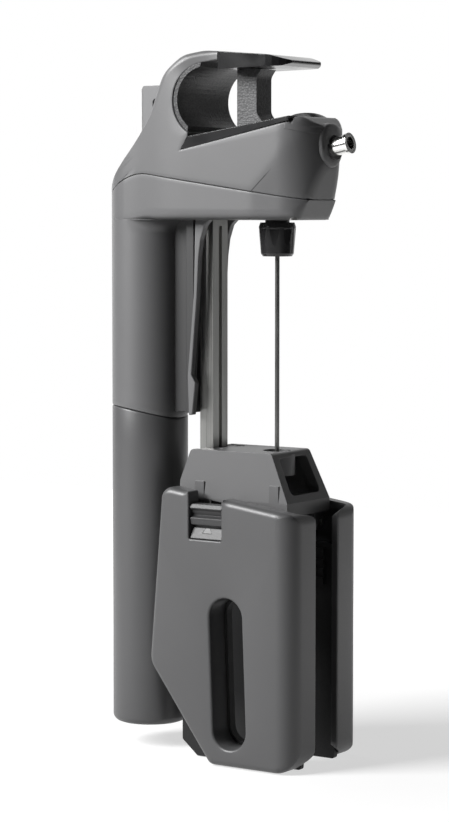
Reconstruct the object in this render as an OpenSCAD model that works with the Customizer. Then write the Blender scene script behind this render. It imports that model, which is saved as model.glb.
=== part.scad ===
// Needle wine preservation dispenser, standing on its bottle clamp.
// +X is the pouring side, the XZ plane is the plane of symmetry, z = 0 is the floor.
// Sizes are in millimetres. X positions are counted from the needle's axis and
// in_frame() then centres the whole device on the origin.

/* [Clamp] */
// Height of the jaws' top edge at the front
jaw_front_h = 84; // [78:0.5:92]
// Height of the jaws' top edge at the back
jaw_back_h = 91; // [85:0.5:99]
// Width over both closed jaws
clamp_w = 43; // [40:0.5:48]
// Depth of one jaw, from its outside face to its liner
jaw_depth = 10; // [8.5:0.1:12]
// Distance from the needle to the jaws' front face
jaw_front = 19.4; // [18:0.2:23]
// Distance from the needle to the jaws' widest point at the back
jaw_back = 36.8; // [34:0.2:37.4]
// Gap between the two front returns of the jaws
neck_window = 13.6; // [11:0.2:18]
// Wall of the jaw shells and of the clamp cap
clamp_wall = 2.4; // [2:0.1:3]
// Width of the grip window in each jaw
window_w = 12.6; // [9:0.2:15]
// Height of the grip window in each jaw
window_h = 49.6; // [40:0.2:54]
// How far a jaw swings outwards, in degrees
jaw_swing = 8; // [4:0.5:9]
// Rise of the clamp cap over the jaws' back edge
cap_rise = 11.5; // [9:0.5:15]
// Width of the clamp cap's top face
cap_w = 23; // [21:0.5:25]

/* [Rail and stroke] */
// Travel of the body along the rail
stroke = 59; // [50:0.5:70]
// Width of the rail's head
rail_w = 8.7; // [7.5:0.1:9.6]
// Thickness of the rail, head and stem together
rail_t = 6.6; // [5.6:0.1:7.4]
// Distance from the needle to the rail's front face
rail_x = 22.4; // [22:0.1:24]

/* [Needle and nut] */
// Outside diameter of the needle
needle_d = 1.5; // [1.2:0.05:2]
// Bore of the needle
needle_bore = 0.8; // [0.5:0.05:0.9]
// Diameter of the needle nut's upper edge
nut_d = 12.2; // [11:0.1:14]
// Height of the needle nut
nut_h = 11; // [9:0.2:13]
// Drop of the needle as the nut is unscrewed
needle_drop = 3; // [2:0.5:3]

/* [Tube and gas capsule] */
// Distance from the needle to the tube's axis
tube_x = 51; // [50.8:0.1:56]
// Outside diameter of tube and cup
tube_d = 25.6; // [25:0.1:26]
// Clearance of the cup over the floor
cup_lift = 7.5; // [5:0.5:12]
// Height of the seam between tube and cup at the back
cup_seam_h = 115.5; // [112:0.5:118]
// Radius of the seam's arc in side view
cup_seam_r = 69; // [60:1:90]
// Diameter of the gas capsule
capsule_d = 18.6; // [17.6:0.1:18.8]
// Wall of the gas capsule
capsule_wall = 0.9; // [0.8:0.05:1.4]
// Length of the gas capsule
capsule_len = 88; // [80:0.5:89]
// Turn that frees the cup, in degrees
cup_turn = 90; // [60:5:90]
// Drop of the cup over that turn
cup_drop = 6; // [6:0.5:8]

/* [Arm and handle] */
// Height of the arm over its underside, at the nose
nose_h = 33.5; // [31:0.5:36]
// Height of the arm over its underside, where the handle rises
arm_back_h = 27.2; // [26:0.2:29]
// Distance from the needle to the nose's front
nose_x = 21.3; // [20:0.1:24]
// Width of the arm at the handle
arm_w = 31.6; // [29:0.2:34]
// Width of the arm at the nose
nose_w = 28.8; // [27:0.2:31]
// Height of the finger opening in the handle
finger_h = 24.4; // [22:0.2:30]
// Half of the finger opening's depth, back of the opening to its centre
finger_a = 10.8; // [9:0.1:12]
// Thickness of the handle's top plate over the post
plate_t = 5; // [4:0.1:6.5]
// Width of the handle's top plate
plate_w = 26; // [22:0.5:30]
// Forward reach of the top plate from the needle
plate_x = 12.5; // [8:0.5:16]
// Wall of the housings
shell_wall = 1.8; // [1.6:0.1:2]
// Thickness of the grip's soft lining
liner_t = 1.5; // [1:0.1:2]

/* [Spout] */
// Height of the spout over the arm's underside, at the nose
spout_h = 23.4; // [21:0.2:25]
// Outside diameter of the spout tube
spout_d = 6; // [5:0.1:6.4]
// Bore of the spout tube
spout_bore = 4; // [3:0.1:4.2]
// Diameter of the spout's rolled lip
spout_lip = 6.8; // [6.6:0.1:7.4]
// Free length of the spout
spout_len = 6.4; // [4:0.2:12]
// Upward tilt of the spout, in degrees
spout_tilt = 11; // [5:1:15]

/* [Trigger] */
// Width of the trigger
trigger_w = 11; // [8:0.5:12]
// Height of the trigger
trigger_h = 21.5; // [19:0.5:23]
// Travel of the trigger, in degrees
trigger_swing = 5; // [3:0.5:5]

/* [Fits] */
// Radial clearance of a running fit
run_fit = 0.05; // [0.02:0.01:0.09]
// Gap between two skins that meet at a seam
seam_gap = 0.15; // [0.1:0.05:0.3]
// Clearance around a piece that slides or swings past another
slide_gap = 0.4; // [0.3:0.05:0.5]

/* [Hidden] */
$fn = 64;
eps = 0.01;

// Heights, from the floor up
cap_top = jaw_back_h + cap_rise;
nut_rest = needle_drop + 1.6;
nut_bottom = cap_top + stroke + nut_rest;
nut_gap = 0.8;
arm_z = nut_bottom + nut_h + nut_gap;
plate_under = arm_z + arm_back_h - 0.4 + finger_h;
spout_z = arm_z + spout_h;

// The frame: the origin lies midway between the tube's back and the spout's tip
spout_tip = nose_x + spout_len * cos(spout_tilt) + spout_lip / 2 * sin(spout_tilt);
needle_shift = (tube_x + tube_d / 2 - spout_tip) / 2;

// Arm, seen from the side
column_x = -24.5;
nose_crest = nose_x - 6;
nose_foot_x = nose_x - 4;
arm_slope = (nose_h - arm_back_h) / (nose_crest - column_x);
nose_seam = arm_z + 6.6;
side_seam = arm_z + 15.4;
seam_tail = arm_z + 5.5;
plate_joint = -15;
post_top = plate_under - 2.4;
post_back = -12.8;
post_front = -5.3;
arm_half = arm_w / 2;
nose_half = nose_w / 2;
tube_r = tube_d / 2;
bore_r = tube_r - shell_wall;

// Web that joins the rail to the tube
web_half = 9;
flange_t = 3.3;
spine_half = 3.8;
web_front = rail_x + 0.6;
web_foot_z = cup_seam_h - 2.5;

// Jaw, seen from the side
jaw_half = clamp_w / 2;
jaw_inner = jaw_half - jaw_depth;
jaw_round = 7;
jaw_rear_top = jaw_back - 5;
jaw_rear_low = 32;
jaw_heel = 13;
liner_heel = 30;
hinge_y = jaw_inner + 1.5;
hinge_z = jaw_front_h - 6;
pin_r = 1.25;
knuckle_r = 2.6;
hinge_front = 5;
hinge_back = -20;
knuckle_w = 4;
window_lean = 2.2;
window_x = -5.6;
window_z = 5.8;
latch_x = -14.2;
latch_w = 12.8;
latch_sill = 74;
latch_bed = 4.6;
jaw_top_room = (jaw_back_h - hinge_z) * sin(jaw_swing) + 2.1;

// Clamp cap, seen from the side
cap_front_top = 5.2;
cap_front_low = 12.3;
cap_back_top = -26.3;
cap_back_low = -30;
cap_skirt = cap_w / 2 + 1.5;
cap_low = jaw_front_h + 2.6;
cap_low_back = jaw_back_h + 1.2;
cap_skirt_drop = 4.4;
cap_bore_h = 8;
guide_r = 3;
shoe_half = rail_w / 2 + 1.6;
cap_screw_x = -rail_x + 3.6;
cap_screw_y = 6.5;

// Rail section: a head in front and a stem behind it
rail_head_t = 2.6;
rail_stem = 4.4;
rail_low = cap_low - 2.5;
rail_top = arm_z + 6;
stop_h = 3;

// Needle seat
needle_r = needle_d / 2;
needle_tip = cap_top - 6;
nut_stub_r = 4;
nut_stub = needle_drop + 3.4;
collar_r = 2.2;
collar_h = 1.6;
manifold_z = arm_z + shell_wall + 0.8;
manifold_top = arm_z + 28;
manifold_half = 7.5;
manifold_back = -7;
manifold_front = 13;

// Cup and capsule
cup_floor = 4;
cup_wall = 2.1;
cup_skin_top = cup_seam_h - 16;
pad_t = 3;
capsule_z = cup_lift + cup_floor + pad_t;
capsule_top = capsule_z + capsule_len;
capsule_neck_r = 4;
cup_bore_r = capsule_d / 2 + 0.2;
neck_r = bore_r - 0.1;
neck_top = cup_seam_h + 6;
lug_r = 1.2;
lug_z = cup_seam_h + 2.6;
groove_steps = 12;

// Regulator in the tube, over the cup's neck
reg_low = neck_top + 0.6;
reg_r = bore_r - 0.1;
reg_h = 26;
reg_nose_r = 6.5;
reg_nose_low = capsule_top + 1.2;
piston_r = 6;
piston_head = 3;
piston_stem_r = 1.6;
piston_z = reg_low + 8;
piston_travel = 0.8;
piston_spring_h = 9;
reg_cap_z = piston_z + piston_head + piston_spring_h;

// Trigger and its valve, at the back of the handle
trigger_back = -52.2;
trigger_t = 2;
trigger_z = arm_z + 23;
trigger_top = trigger_z + trigger_h;
pivot_x = -45.5;
pivot_z = arm_z + 25;
pivot_r = 1;
valve_z = pivot_z + 7;
valve_back = -41.6;
valve_len = 9;
valve_r = 3.5;
stem_r = 1.2;
trigger_face = pivot_x + 2.4;
trigger_room = (trigger_top - pivot_z) * sin(trigger_swing) + slide_gap;
trigger_spring_z = pivot_z + 12.2;
gas_tube_r = 1.5;

// ---------------------------------------------------------------- outlines

function unit(v) = v / norm(v);
function flat(list) = [for (part = list) each part];

// Points of one corner, rounded to radius r
function corner(a, b, c, r, n = 6) =
    r == 0 ? [b] :
    let (
        u = unit(a - b),
        v = unit(c - b),
        half = acos(u * v) / 2,
        mid = b + unit(u + v) * r / sin(half),
        from = b + u * r / tan(half) - mid,
        to = b + v * r / tan(half) - mid,
        start = atan2(from.y, from.x),
        turn = ((atan2(to.y, to.x) - start + 540) % 360) - 180
    )
    [for (i = [0 : n]) mid + r * [cos(start + turn * i / n), sin(start + turn * i / n)]];

// A closed outline from [x, y, radius] corners
function rounded(p) = flat([
    for (i = [0 : len(p) - 1])
        let (
            a = p[(i + len(p) - 1) % len(p)],
            b = p[i],
            c = p[(i + 1) % len(p)]
        )
        corner([a.x, a.y], [b.x, b.y], [c.x, c.y], b.z)
]);

// Points on an ellipse between two angles
function oval(x, z, a, b, from, to, n = 16) =
    [for (i = [0 : n]) let (t = from + (to - from) * i / n) [x + a * cos(t), z + b * sin(t)]];

// Height of the arm's top line
function arm_top(x) = arm_z + arm_back_h + arm_slope * (x - column_x);

// Rear edge of the web at a height, drawn in towards its foot
function web_edge(z) = -web_front - 4.4 * (arm_z - z) / (arm_z - web_foot_z - 14);

// ---------------------------------------------------------------- helpers

module in_frame() translate([needle_shift, 0, 0]) children();

// A side-view outline, given depth across the device
module side_view(points, low, high) {
    translate([0, high, 0]) rotate([90, 0, 0]) linear_extrude(high - low) polygon(points);
}

// An outline in the YZ plane, given depth along X
module side_view_x(points, low, high) {
    translate([low, 0, 0]) rotate([90, 0, 90]) linear_extrude(high - low) polygon(points);
}

module both_sides() {
    children();
    mirror([0, 1, 0]) children();
}

// A box from its lowest corner to its highest
module block(low, high) {
    translate(low) cube(high - low);
}

// A round bar along X
module bar_x(x0, x1, y, z, r) {
    translate([x0, y, z]) rotate([0, 90, 0]) cylinder(h = x1 - x0, r = r);
}

// A round bar along Y, centred on the plane of symmetry
module bar_y(x, z, r, w) {
    translate([x, 0, z]) rotate([90, 0, 0]) cylinder(h = w, r = r, center = true);
}

// A ring about the Z axis
module ring(r, bore, h) {
    difference() {
        cylinder(h = h, r = r);
        translate([0, 0, -eps]) cylinder(h = h + 2 * eps, r = bore);
    }
}

// An open compression spring standing on z = 0: one swept wire with six sides
module coil_spring(r, wire, h, turns) {
    steps = turns * 10;
    sides = 6;
    rise = h - wire;
    rings = [
        for (i = [0 : steps])
            let (a = 360 * turns * i / steps, z = wire / 2 + rise * i / steps)
            [for (k = [0 : sides - 1])
                let (t = 360 * k / sides, q = r + wire / 2 * cos(t))
                [q * cos(a), q * sin(a), z + wire / 2 * sin(t)]]
    ];
    last = steps * sides;
    walls = [
        for (i = [0 : steps - 1], k = [0 : sides - 1])
            let (a = i * sides + k, b = i * sides + (k + 1) % sides)
            each [[a, a + sides, b], [b, a + sides, b + sides]]
    ];
    caps = [
        for (k = [1 : sides - 2])
            each [[0, k, k + 1], [last, last + k + 1, last + k]]
    ];
    polyhedron(points = flat(rings), faces = concat(walls, caps), convexity = 8);
}

// A cap screw with its head up, under side of the head at z = 0
module screw(r, head_r, length, head_h = 1.2) {
    difference() {
        union() {
            cylinder(h = head_h, r = head_r);
            translate([0, 0, -length]) cylinder(h = length + eps, r = r);
        }
        translate([0, 0, head_h / 2]) cylinder(h = head_h, r = head_r * 0.45, $fn = 6);
    }
}

// ---------------------------------------------------------------- clamp

// Side outline of a jaw, drawn in by i on every edge
function jaw_outline(i = 0) = rounded([
    [-jaw_rear_top + i, jaw_back_h - 1.1 * i, 4],
    [-jaw_back + 1.1 * i, jaw_rear_low - i / 2, 7],
    [-jaw_heel + 1.7 * i, i, 3],
    [jaw_front - i, i, 7],
    [jaw_front - i, jaw_front_h - 1.1 * i, 4]
]);

// Plan of a jaw: the front corner rounded, the return ending at the neck window
module jaw_plan(i = 0) {
    translate([0, 0, -1])
        linear_extrude(jaw_back_h + 2)
            polygon(rounded([
                [-jaw_back - 4, -jaw_half + i, 0],
                [jaw_front - i, -jaw_half + i, jaw_round - i],
                [jaw_front - i, i > 0 ? 0 : -neck_window / 2, 0],
                [-jaw_back - 4, i > 0 ? 0 : -neck_window / 2, 0]
            ]));
}

// Grip window, drawn out by grow on every side
module jaw_window(grow, low, high) {
    r = window_w / 2 + grow;
    translate([window_x, 0, window_z + window_h / 2]) rotate([0, -window_lean, 0])
        side_view(rounded([
            [-r, -window_h / 2 - grow, r - eps],
            [r, -window_h / 2 - grow, r - eps],
            [r, window_h / 2 + grow, r - eps],
            [-r, window_h / 2 + grow, r - eps]
        ]), low, high);
}

// Solid of one jaw knuckle or its clearance
module jaw_knuckles(r, w, low, high) {
    for (x = [hinge_front - knuckle_w - slide_gap / 2, hinge_back + slide_gap / 2])
        block([x, low, hinge_z - r], [x + w, high, hinge_z + r]);
}

module jaw_shell() {
    color("dimgray")
    difference() {
        union() {
            difference() {
                intersection() {
                    side_view(jaw_outline(), -jaw_half, 0);
                    jaw_plan();
                }
                intersection() {
                    side_view(jaw_outline(clamp_wall), -jaw_half + clamp_wall, 1);
                    jaw_plan(clamp_wall);
                }
                // the top wall stops short of the cap, so that the jaw can swing
                block([-jaw_back, -jaw_inner - jaw_top_room, jaw_front_h - 8],
                      [jaw_front - clamp_wall, 1, jaw_back_h + 1]);
                // inside the liner's face only the front return is left
                block([-jaw_back, -jaw_inner, -1], [jaw_front - clamp_wall, 1, jaw_back_h + 1]);
            }
            intersection() {
                jaw_window(clamp_wall, -jaw_half + eps, -jaw_inner);
                side_view(jaw_outline(), -jaw_half, 0);
            }
            // knuckles on the pin, joined to the shell by their own ribs
            intersection() {
                union() {
                    jaw_knuckles(knuckle_r, knuckle_w, -jaw_half + 1, -hinge_y);
                    for (x = [hinge_front - knuckle_w - slide_gap / 2, hinge_back + slide_gap / 2])
                        bar_x(x, x + knuckle_w, -hinge_y, hinge_z, knuckle_r);
                }
                side_view(jaw_outline(), -jaw_half, 0);
            }
            // ledge behind the latch
            block([latch_x - latch_w / 2 - 1.5, -jaw_half + latch_bed, latch_sill - 1],
                  [latch_x + latch_w / 2 + 1.5, -jaw_half + latch_bed + 1, jaw_front_h + 0.5]);
            block([latch_x - latch_w / 2 - 1.5, -jaw_half + 1, latch_sill - 2.2],
                  [latch_x + latch_w / 2 + 1.5, -jaw_half + latch_bed + 1, latch_sill]);
        }
        jaw_window(0, -jaw_half - 1, 1);
        block([latch_x - latch_w / 2, -jaw_half - 1, latch_sill],
              [latch_x + latch_w / 2, -jaw_half + latch_bed, jaw_back_h + 1]);
        bar_x(hinge_back - 10, hinge_front + 5, -hinge_y, hinge_z, pin_r + run_fit);
    }
}

module jaw_liner() {
    low = -jaw_inner + seam_gap;
    color("black")
    difference() {
        side_view(rounded([
            [-jaw_rear_top + 4, jaw_front_h - 12, 3],
            [-jaw_back + 5.4, jaw_rear_low, 4],
            [-liner_heel, 20, 4],
            [-liner_heel, 5, 1],
            [-liner_heel + 6, 0, 0.5],
            [jaw_front - clamp_wall - slide_gap, 0, 1],
            [jaw_front - clamp_wall - slide_gap, jaw_front_h - 12, 3]
        ]), low, low + 1.8);
        jaw_window(-seam_gap - 1, low - 1, low + 3);
    }
    // lip that sits in the shell's window frame
    color("black")
    difference() {
        jaw_window(-seam_gap, -jaw_inner - 1, low + 0.5);
        jaw_window(-seam_gap - 1, -jaw_half, low + 3);
    }
}

// Rubber block with a vee that closes on the bottle's neck
module neck_pad() {
    low = -jaw_inner + seam_gap + 1.8;
    color([0.12, 0.12, 0.13])
    difference() {
        block([-13, low, 58], [13, low + 1.7, 70]);
        translate([0, 0.9, 57]) cylinder(h = 14, r = jaw_inner - 1.8 + 0.2 - 0.9);
        for (z = [60.4, 63.4, 66.4])
            block([-14, low + 1.1, z], [14, low + 3, z + 1.2]);
    }
}

module latch() {
    x0 = latch_x - latch_w / 2 + 0.3;
    x1 = latch_x + latch_w / 2 - 0.3;
    y0 = -jaw_half + 0.7;
    back = -jaw_half + latch_bed - 0.2;
    top = jaw_front_h - 0.6;
    color("gray")
    difference() {
        side_view_x(rounded([
            [back, latch_sill + 0.3, 0],
            [back, top + 2.2, 0],
            [y0 + 0.6, top + 2.2, 0.4],
            [y0 - 0.2, top + 0.8, 0.3],
            [y0 + 0.8, top, 0],
            [y0 + 1.6, top - 1.6, 0],
            [y0, top - 2.4, 0.3],
            [y0 + 0.4, top - 4.6, 0],
            [y0 + 2.2, top - 4.9, 0],
            [y0 + 2.2, top - 5.7, 0],
            [y0 + 1.4, top - 5.7, 0],
            [y0, latch_sill + 0.3, 0]
        ]), x0, x1);
        latch_mark_cut(0.02);
    }
}

// Triangle that points up, on the latch's ramp
module latch_mark_cut(grow) {
    y = -jaw_half + 0.7;
    side_view([
        [latch_x - 1.8 - grow, latch_sill + 2 - grow],
        [latch_x + 1.8 + grow, latch_sill + 2 - grow],
        [latch_x + grow, latch_sill + 5 + 2 * grow]
    ], y - 1, y + 1.6 + grow);
}

module latch_mark() {
    color("lightgray")
    intersection() {
        latch_mark_cut(0);
        side_view_x([
            [-jaw_half + 1.3, latch_sill],
            [-jaw_half + 0.7, latch_sill],
            [-jaw_half + 2.1, jaw_front_h - 6.3],
            [-jaw_half + 2.7, jaw_front_h - 6.3]
        ], latch_x - 4, latch_x + 4);
    }
}

// Side outline of the clamp cap, drawn in by i
function cap_outline(i = 0) = rounded([
    [cap_back_top + 1.2 * i, cap_top - i, 1.5],
    [cap_back_low + 1.2 * i, cap_low_back, 0],
    [cap_back_low + 1.2 * i, cap_low_back - cap_skirt_drop, 0],
    [cap_front_low - 1.6 * i, cap_low - cap_skirt_drop, 0],
    [cap_front_low - 1.6 * i, cap_low, 0],
    [cap_front_top - 1.2 * i, cap_top - i, 1.5]
]);

// Cross outline of the clamp cap: sides that lean in towards the top
function cap_section(i = 0) = [
    [-cap_skirt + i, cap_low - 8], [cap_skirt - i, cap_low - 8],
    [cap_skirt - i, cap_low], [cap_w / 2 - i, cap_top + 1 - i],
    [-cap_w / 2 + i, cap_top + 1 - i], [-cap_skirt + i, cap_low]
];

// Lugs that carry the hinge pins, on the outside of the jaws' knuckles
module cap_lugs() {
    both_sides()
        for (x = [hinge_front, hinge_back - knuckle_w])
            difference() {
                union() {
                    bar_x(x + slide_gap / 2, x + knuckle_w - slide_gap / 2, -hinge_y, hinge_z,
                          knuckle_r);
                    block([x + slide_gap / 2, -hinge_y - 0.6, hinge_z],
                          [x + knuckle_w - slide_gap / 2, -cap_skirt + clamp_wall + 1,
                           cap_low_back]);
                }
                block([x, -hinge_y - 4, cap_low - cap_skirt_drop],
                      [x + knuckle_w, -cap_skirt, cap_low_back + 3]);
            }
}

module clamp_cap() in_frame()
    color("dimgray")
    difference() {
        union() {
            difference() {
                intersection() {
                    side_view(cap_outline(), -cap_skirt, cap_skirt);
                    side_view_x(cap_section(), cap_back_low - 1, cap_front_low + 1);
                }
                intersection() {
                    side_view(cap_outline(clamp_wall), -cap_skirt, cap_skirt);
                    side_view_x(cap_section(clamp_wall), cap_back_low - 1, cap_front_low + 1);
                }
                // recess in the sloped front, open to the needle's tip
                side_view_x(rounded([
                    [-cap_w / 2 + 2.4, cap_low + 2.2, 2],
                    [cap_w / 2 - 2.4, cap_low + 2.2, 2],
                    [cap_w / 2 - 3.2, cap_top - 1.8, 1],
                    [-cap_w / 2 + 3.2, cap_top - 1.8, 1]
                ]), 2, cap_front_low + 2);
            }
            intersection() {
                cap_lugs();
                side_view_x([
                    [-jaw_half, hinge_z - 4], [jaw_half, hinge_z - 4],
                    [jaw_half, cap_low], [cap_w / 2, cap_top], [-cap_w / 2, cap_top],
                    [-jaw_half, cap_low]
                ], -40, 40);
            }
            // boss that holds the needle guide
            translate([0, 0, cap_top - cap_bore_h]) cylinder(h = cap_bore_h - 1, r = guide_r + 3);
            // bulkhead that carries the shoe
            block([-rail_x + 1.2, -cap_w / 2 + 2, cap_low + 3.4], [cap_screw_x + 1.8, cap_w / 2 - 2, cap_top - 1]);
        }
        // slot for the web's cheeks and the rail
        block([cap_back_low - 2, -web_half - slide_gap, cap_low - 9],
              [-rail_x + slide_gap + 0.8, web_half + slide_gap, cap_top + 1]);
        translate([0, 0, cap_top - cap_bore_h - 1]) cylinder(h = cap_bore_h + 2, r = guide_r);
        both_sides() bar_x(hinge_back - 10, hinge_front + knuckle_w + 2, -hinge_y, hinge_z, pin_r);
        // screws that hold the bulkhead, driven from above
        both_sides() translate([cap_screw_x, -cap_screw_y, cap_low]) cylinder(h = cap_top - cap_low, r = 0.8);
        both_sides() translate([cap_screw_x, -cap_screw_y, cap_top - 1.2]) cylinder(h = 3, r = 1.7);
        // funnel that leads the needle to its guide
        translate([0, 0, cap_top - 1.6]) cylinder(h = 3, r = guide_r + 1.6);
    }

module cap_screws() in_frame()
    color("silver")
    both_sides()
        translate([cap_screw_x, -cap_screw_y, cap_top - 1.2]) screw(0.8, 1.6, 7, 1);

module needle_guide() in_frame()
    color("black")
    translate([0, 0, cap_top - cap_bore_h])
        ring(guide_r, needle_r + run_fit, cap_bore_h - 1.8);

// Slippery shoe that is screwed to the bulkhead and claws round the rail's head
module rail_shoe() in_frame()
    color("gray")
    difference() {
        block([-rail_x - rail_head_t - 1.8, -shoe_half, cap_low + 3.6], [-rail_x + 1.2, shoe_half, cap_top - 0.4]);
        block([-rail_x - rail_head_t - run_fit, -rail_w / 2 - run_fit, cap_low],
              [-rail_x + run_fit, rail_w / 2 + run_fit, cap_top + 1]);
        block([-rail_x - rail_t, -rail_stem / 2 - run_fit - 0.05, cap_low],
              [-rail_x - 1, rail_stem / 2 + run_fit + 0.05, cap_top + 1]);
    }

module jaw_pins() in_frame()
    color("silver")
    both_sides()
        bar_x(hinge_back - knuckle_w + 0.6, hinge_front + knuckle_w - 0.6, -hinge_y, hinge_z, pin_r);

// Torsion springs wound on the pins, pushing the jaws shut
module jaw_springs() in_frame()
    color("silver")
    both_sides()
        translate([-9, -hinge_y, hinge_z]) rotate([0, 90, 0])
            coil_spring(pin_r + 0.75, 0.7, 9, 7);

module near_jaw() in_frame() jaw_shell();
module near_jaw_liner() in_frame() jaw_liner();
module near_neck_pad() in_frame() neck_pad();
module near_latch() in_frame() latch();
module near_latch_mark() in_frame() latch_mark();
module far_jaw() in_frame() mirror([0, 1, 0]) jaw_shell();
module far_jaw_liner() in_frame() mirror([0, 1, 0]) jaw_liner();
module far_neck_pad() in_frame() mirror([0, 1, 0]) neck_pad();
module far_latch() in_frame() mirror([0, 1, 0]) latch();
module far_latch_mark() in_frame() mirror([0, 1, 0]) latch_mark();

// ---------------------------------------------------------------- rail

module rail() in_frame()
    color("silver")
    difference() {
        union() {
            block([-rail_x - rail_head_t, -rail_w / 2, rail_low], [-rail_x, rail_w / 2, rail_top]);
            block([-rail_x - rail_t, -rail_stem / 2, rail_low], [-rail_x - 1, rail_stem / 2, rail_top]);
        }
        // groove down the face of the rail
        block([-rail_x - 0.7, -0.9, rail_low - 1], [-rail_x + 1, 0.9, arm_z - 2]);
        translate([-rail_x - rail_t / 2, 0, rail_top - 8]) cylinder(h = 9, r = 0.8);
        bar_x(-rail_x - rail_t - 1, -rail_x + 1, 0, rail_low + 1.4, 0.8);
    }

// End stop riveted across the rail's foot: it meets the shoe when the body is raised
module rail_stop() in_frame()
    color("gray")
    difference() {
        union() {
            block([-rail_x - rail_head_t, -rail_w / 2 - 1.2, rail_low - stop_h],
                  [-rail_x, rail_w / 2 + 1.2, rail_low]);
            for (side = [-1, 1])
                block([-rail_x - rail_head_t, side > 0 ? rail_w / 2 : -rail_w / 2 - 1.2,
                       rail_low - 1],
                      [-rail_x, side > 0 ? rail_w / 2 + 1.2 : -rail_w / 2,
                       cap_low + 3.3]);
        }
    }

module rail_screws() in_frame()
    color("silver")
    translate([-rail_x - rail_t / 2, 0, rail_top + 3]) screw(0.8, 1.6, 10);

// ---------------------------------------------------------------- housings

// Side outline of arm and handle column, over the shells' seam
function upper_side() = concat(
    rounded([
        [nose_foot_x, nose_seam, 0],
        [nose_x, spout_z - 3, 12],
        [nose_x - 0.6, arm_z + nose_h - 4, 2],
        [nose_crest, arm_z + nose_h, 3],
        [column_x, arm_top(column_x), 0]
    ]),
    oval(column_x + 6, plate_under - finger_h / 2, finger_a + liner_t, finger_h / 2,
         238, 95),
    rounded([
        [plate_joint, plate_under + 0.6, 0],
        [plate_joint, plate_under + 3.3, 0],
        [-21, plate_under + 3.7, 8],
        [-28.6, plate_under + 2.4, 8],
        [-36.2, plate_under - 4, 12],
        [-45.2, arm_z + 30, 20],
        [-tube_x - 2, arm_z + 21, 20],
        [-tube_x - tube_r + 3.4, arm_z + 13, 12],
        [-tube_x - tube_r, seam_tail, 0]
    ]),
    seam_line()
);

// Seam between the two housings, from the back to the nose
function seam_line() = [
    [-tube_x - tube_r + 2.6, arm_z + 8.9],
    [-tube_x - 3.5, arm_z + 12.6],
    [-tube_x + 3.5, side_seam],
    [-tube_x + 9, side_seam - 0.3],
    [-1, arm_z + 9.3],
    [11, arm_z + 7.5]
];

// Plan of the arm: round over the tube, wide at the handle, rounded at the nose
module arm_plan(i = 0) {
    translate([0, 0, arm_z - 1 + i])
        linear_extrude(90)
            polygon(rounded([
                [nose_x - i, -nose_half + i, 9 - i],
                [-33, -arm_half + i, 25],
                [-tube_x + 2, -tube_r + i, 15],
                [-tube_x - tube_r + i, -tube_r + i, tube_r - i - eps],
                [-tube_x - tube_r + i, tube_r - i, tube_r - i - eps],
                [-tube_x + 2, tube_r - i, 15],
                [-33, arm_half - i, 25],
                [nose_x - i, nose_half - i, 9 - i]
            ]));
}

module arm_upper_solid() {
    intersection() {
        side_view(upper_side(), -arm_half - 1, arm_half + 1);
        arm_plan();
    }
}

// Wedge along the arm's top edge that is a separate glossy trim
module saddle_region(grow) {
    side_view([
        [column_x - 3.2 - grow, arm_z + arm_back_h - 4.4 - grow],
        [column_x - 0.2 - grow, arm_z + arm_back_h + 0.6],
        [column_x - 0.2 - grow, arm_z + arm_back_h + 6],
        [nose_x - 8 + grow, arm_z + nose_h + 6],
        [nose_x - 8 + grow, arm_top(nose_x - 8) - 1.4 - grow]
    ], -arm_half - 2, arm_half + 2);
}

// Top of the nose, over the collar
module nose_cap_region(grow) {
    block([nose_x - 8 + seam_gap - grow, -arm_half - 2, arm_z + nose_h - 4 - grow],
          [nose_x + 2, arm_half + 2, arm_z + nose_h + 3]);
}

// Shield-shaped face round the spout
module collar_region(grow) {
    side_view_x(rounded([
        [-nose_half - 2, arm_z + nose_h - 4 - seam_gap + grow, 0],
        [-nose_half - 2, arm_z + nose_h - 5 - grow, 0],
        [-6.2 - grow, spout_z - 3.5, 7],
        [-3 - grow, spout_z - 6.2 - grow, 3],
        [3 + grow, spout_z - 6.2 - grow, 3],
        [6.2 + grow, spout_z - 3.5, 7],
        [nose_half + 2, arm_z + nose_h - 5 - grow, 0],
        [nose_half + 2, arm_z + nose_h - 4 - seam_gap + grow, 0]
    ]), nose_x - 6 - grow, nose_x + 2);
}

// Room inside the arm for frame, manifold and tubes
module arm_cavity() {
    side_view([
        [-tube_x + 6, arm_z + shell_wall + 0.4],
        [nose_x - 6.4, arm_z + shell_wall + 0.4],
        [nose_x - 3.4, arm_z + 9],
        [nose_x - 3.4, arm_z + nose_h - 4.4],
        [nose_x - 8, arm_z + nose_h - 4.4],
        [column_x - 3, arm_z + arm_back_h - 5],
        [-tube_x + 6, arm_z + arm_back_h - 6]
    ], -nose_half + shell_wall + 1.2, nose_half - shell_wall - 1.2);
}

// Direction of the spout, from its root inside the nose
module along_spout(from) {
    translate([nose_x, 0, spout_z])
        rotate([0, 90 - spout_tilt, 0])
            translate([0, 0, from])
                children();
}

module housing_screw_places(z) {
    for (place = [[-tube_x + 14, 9.2], [12, 9.4]])
        both_sides() translate([place.x, -place.y, z]) children();
}

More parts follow.
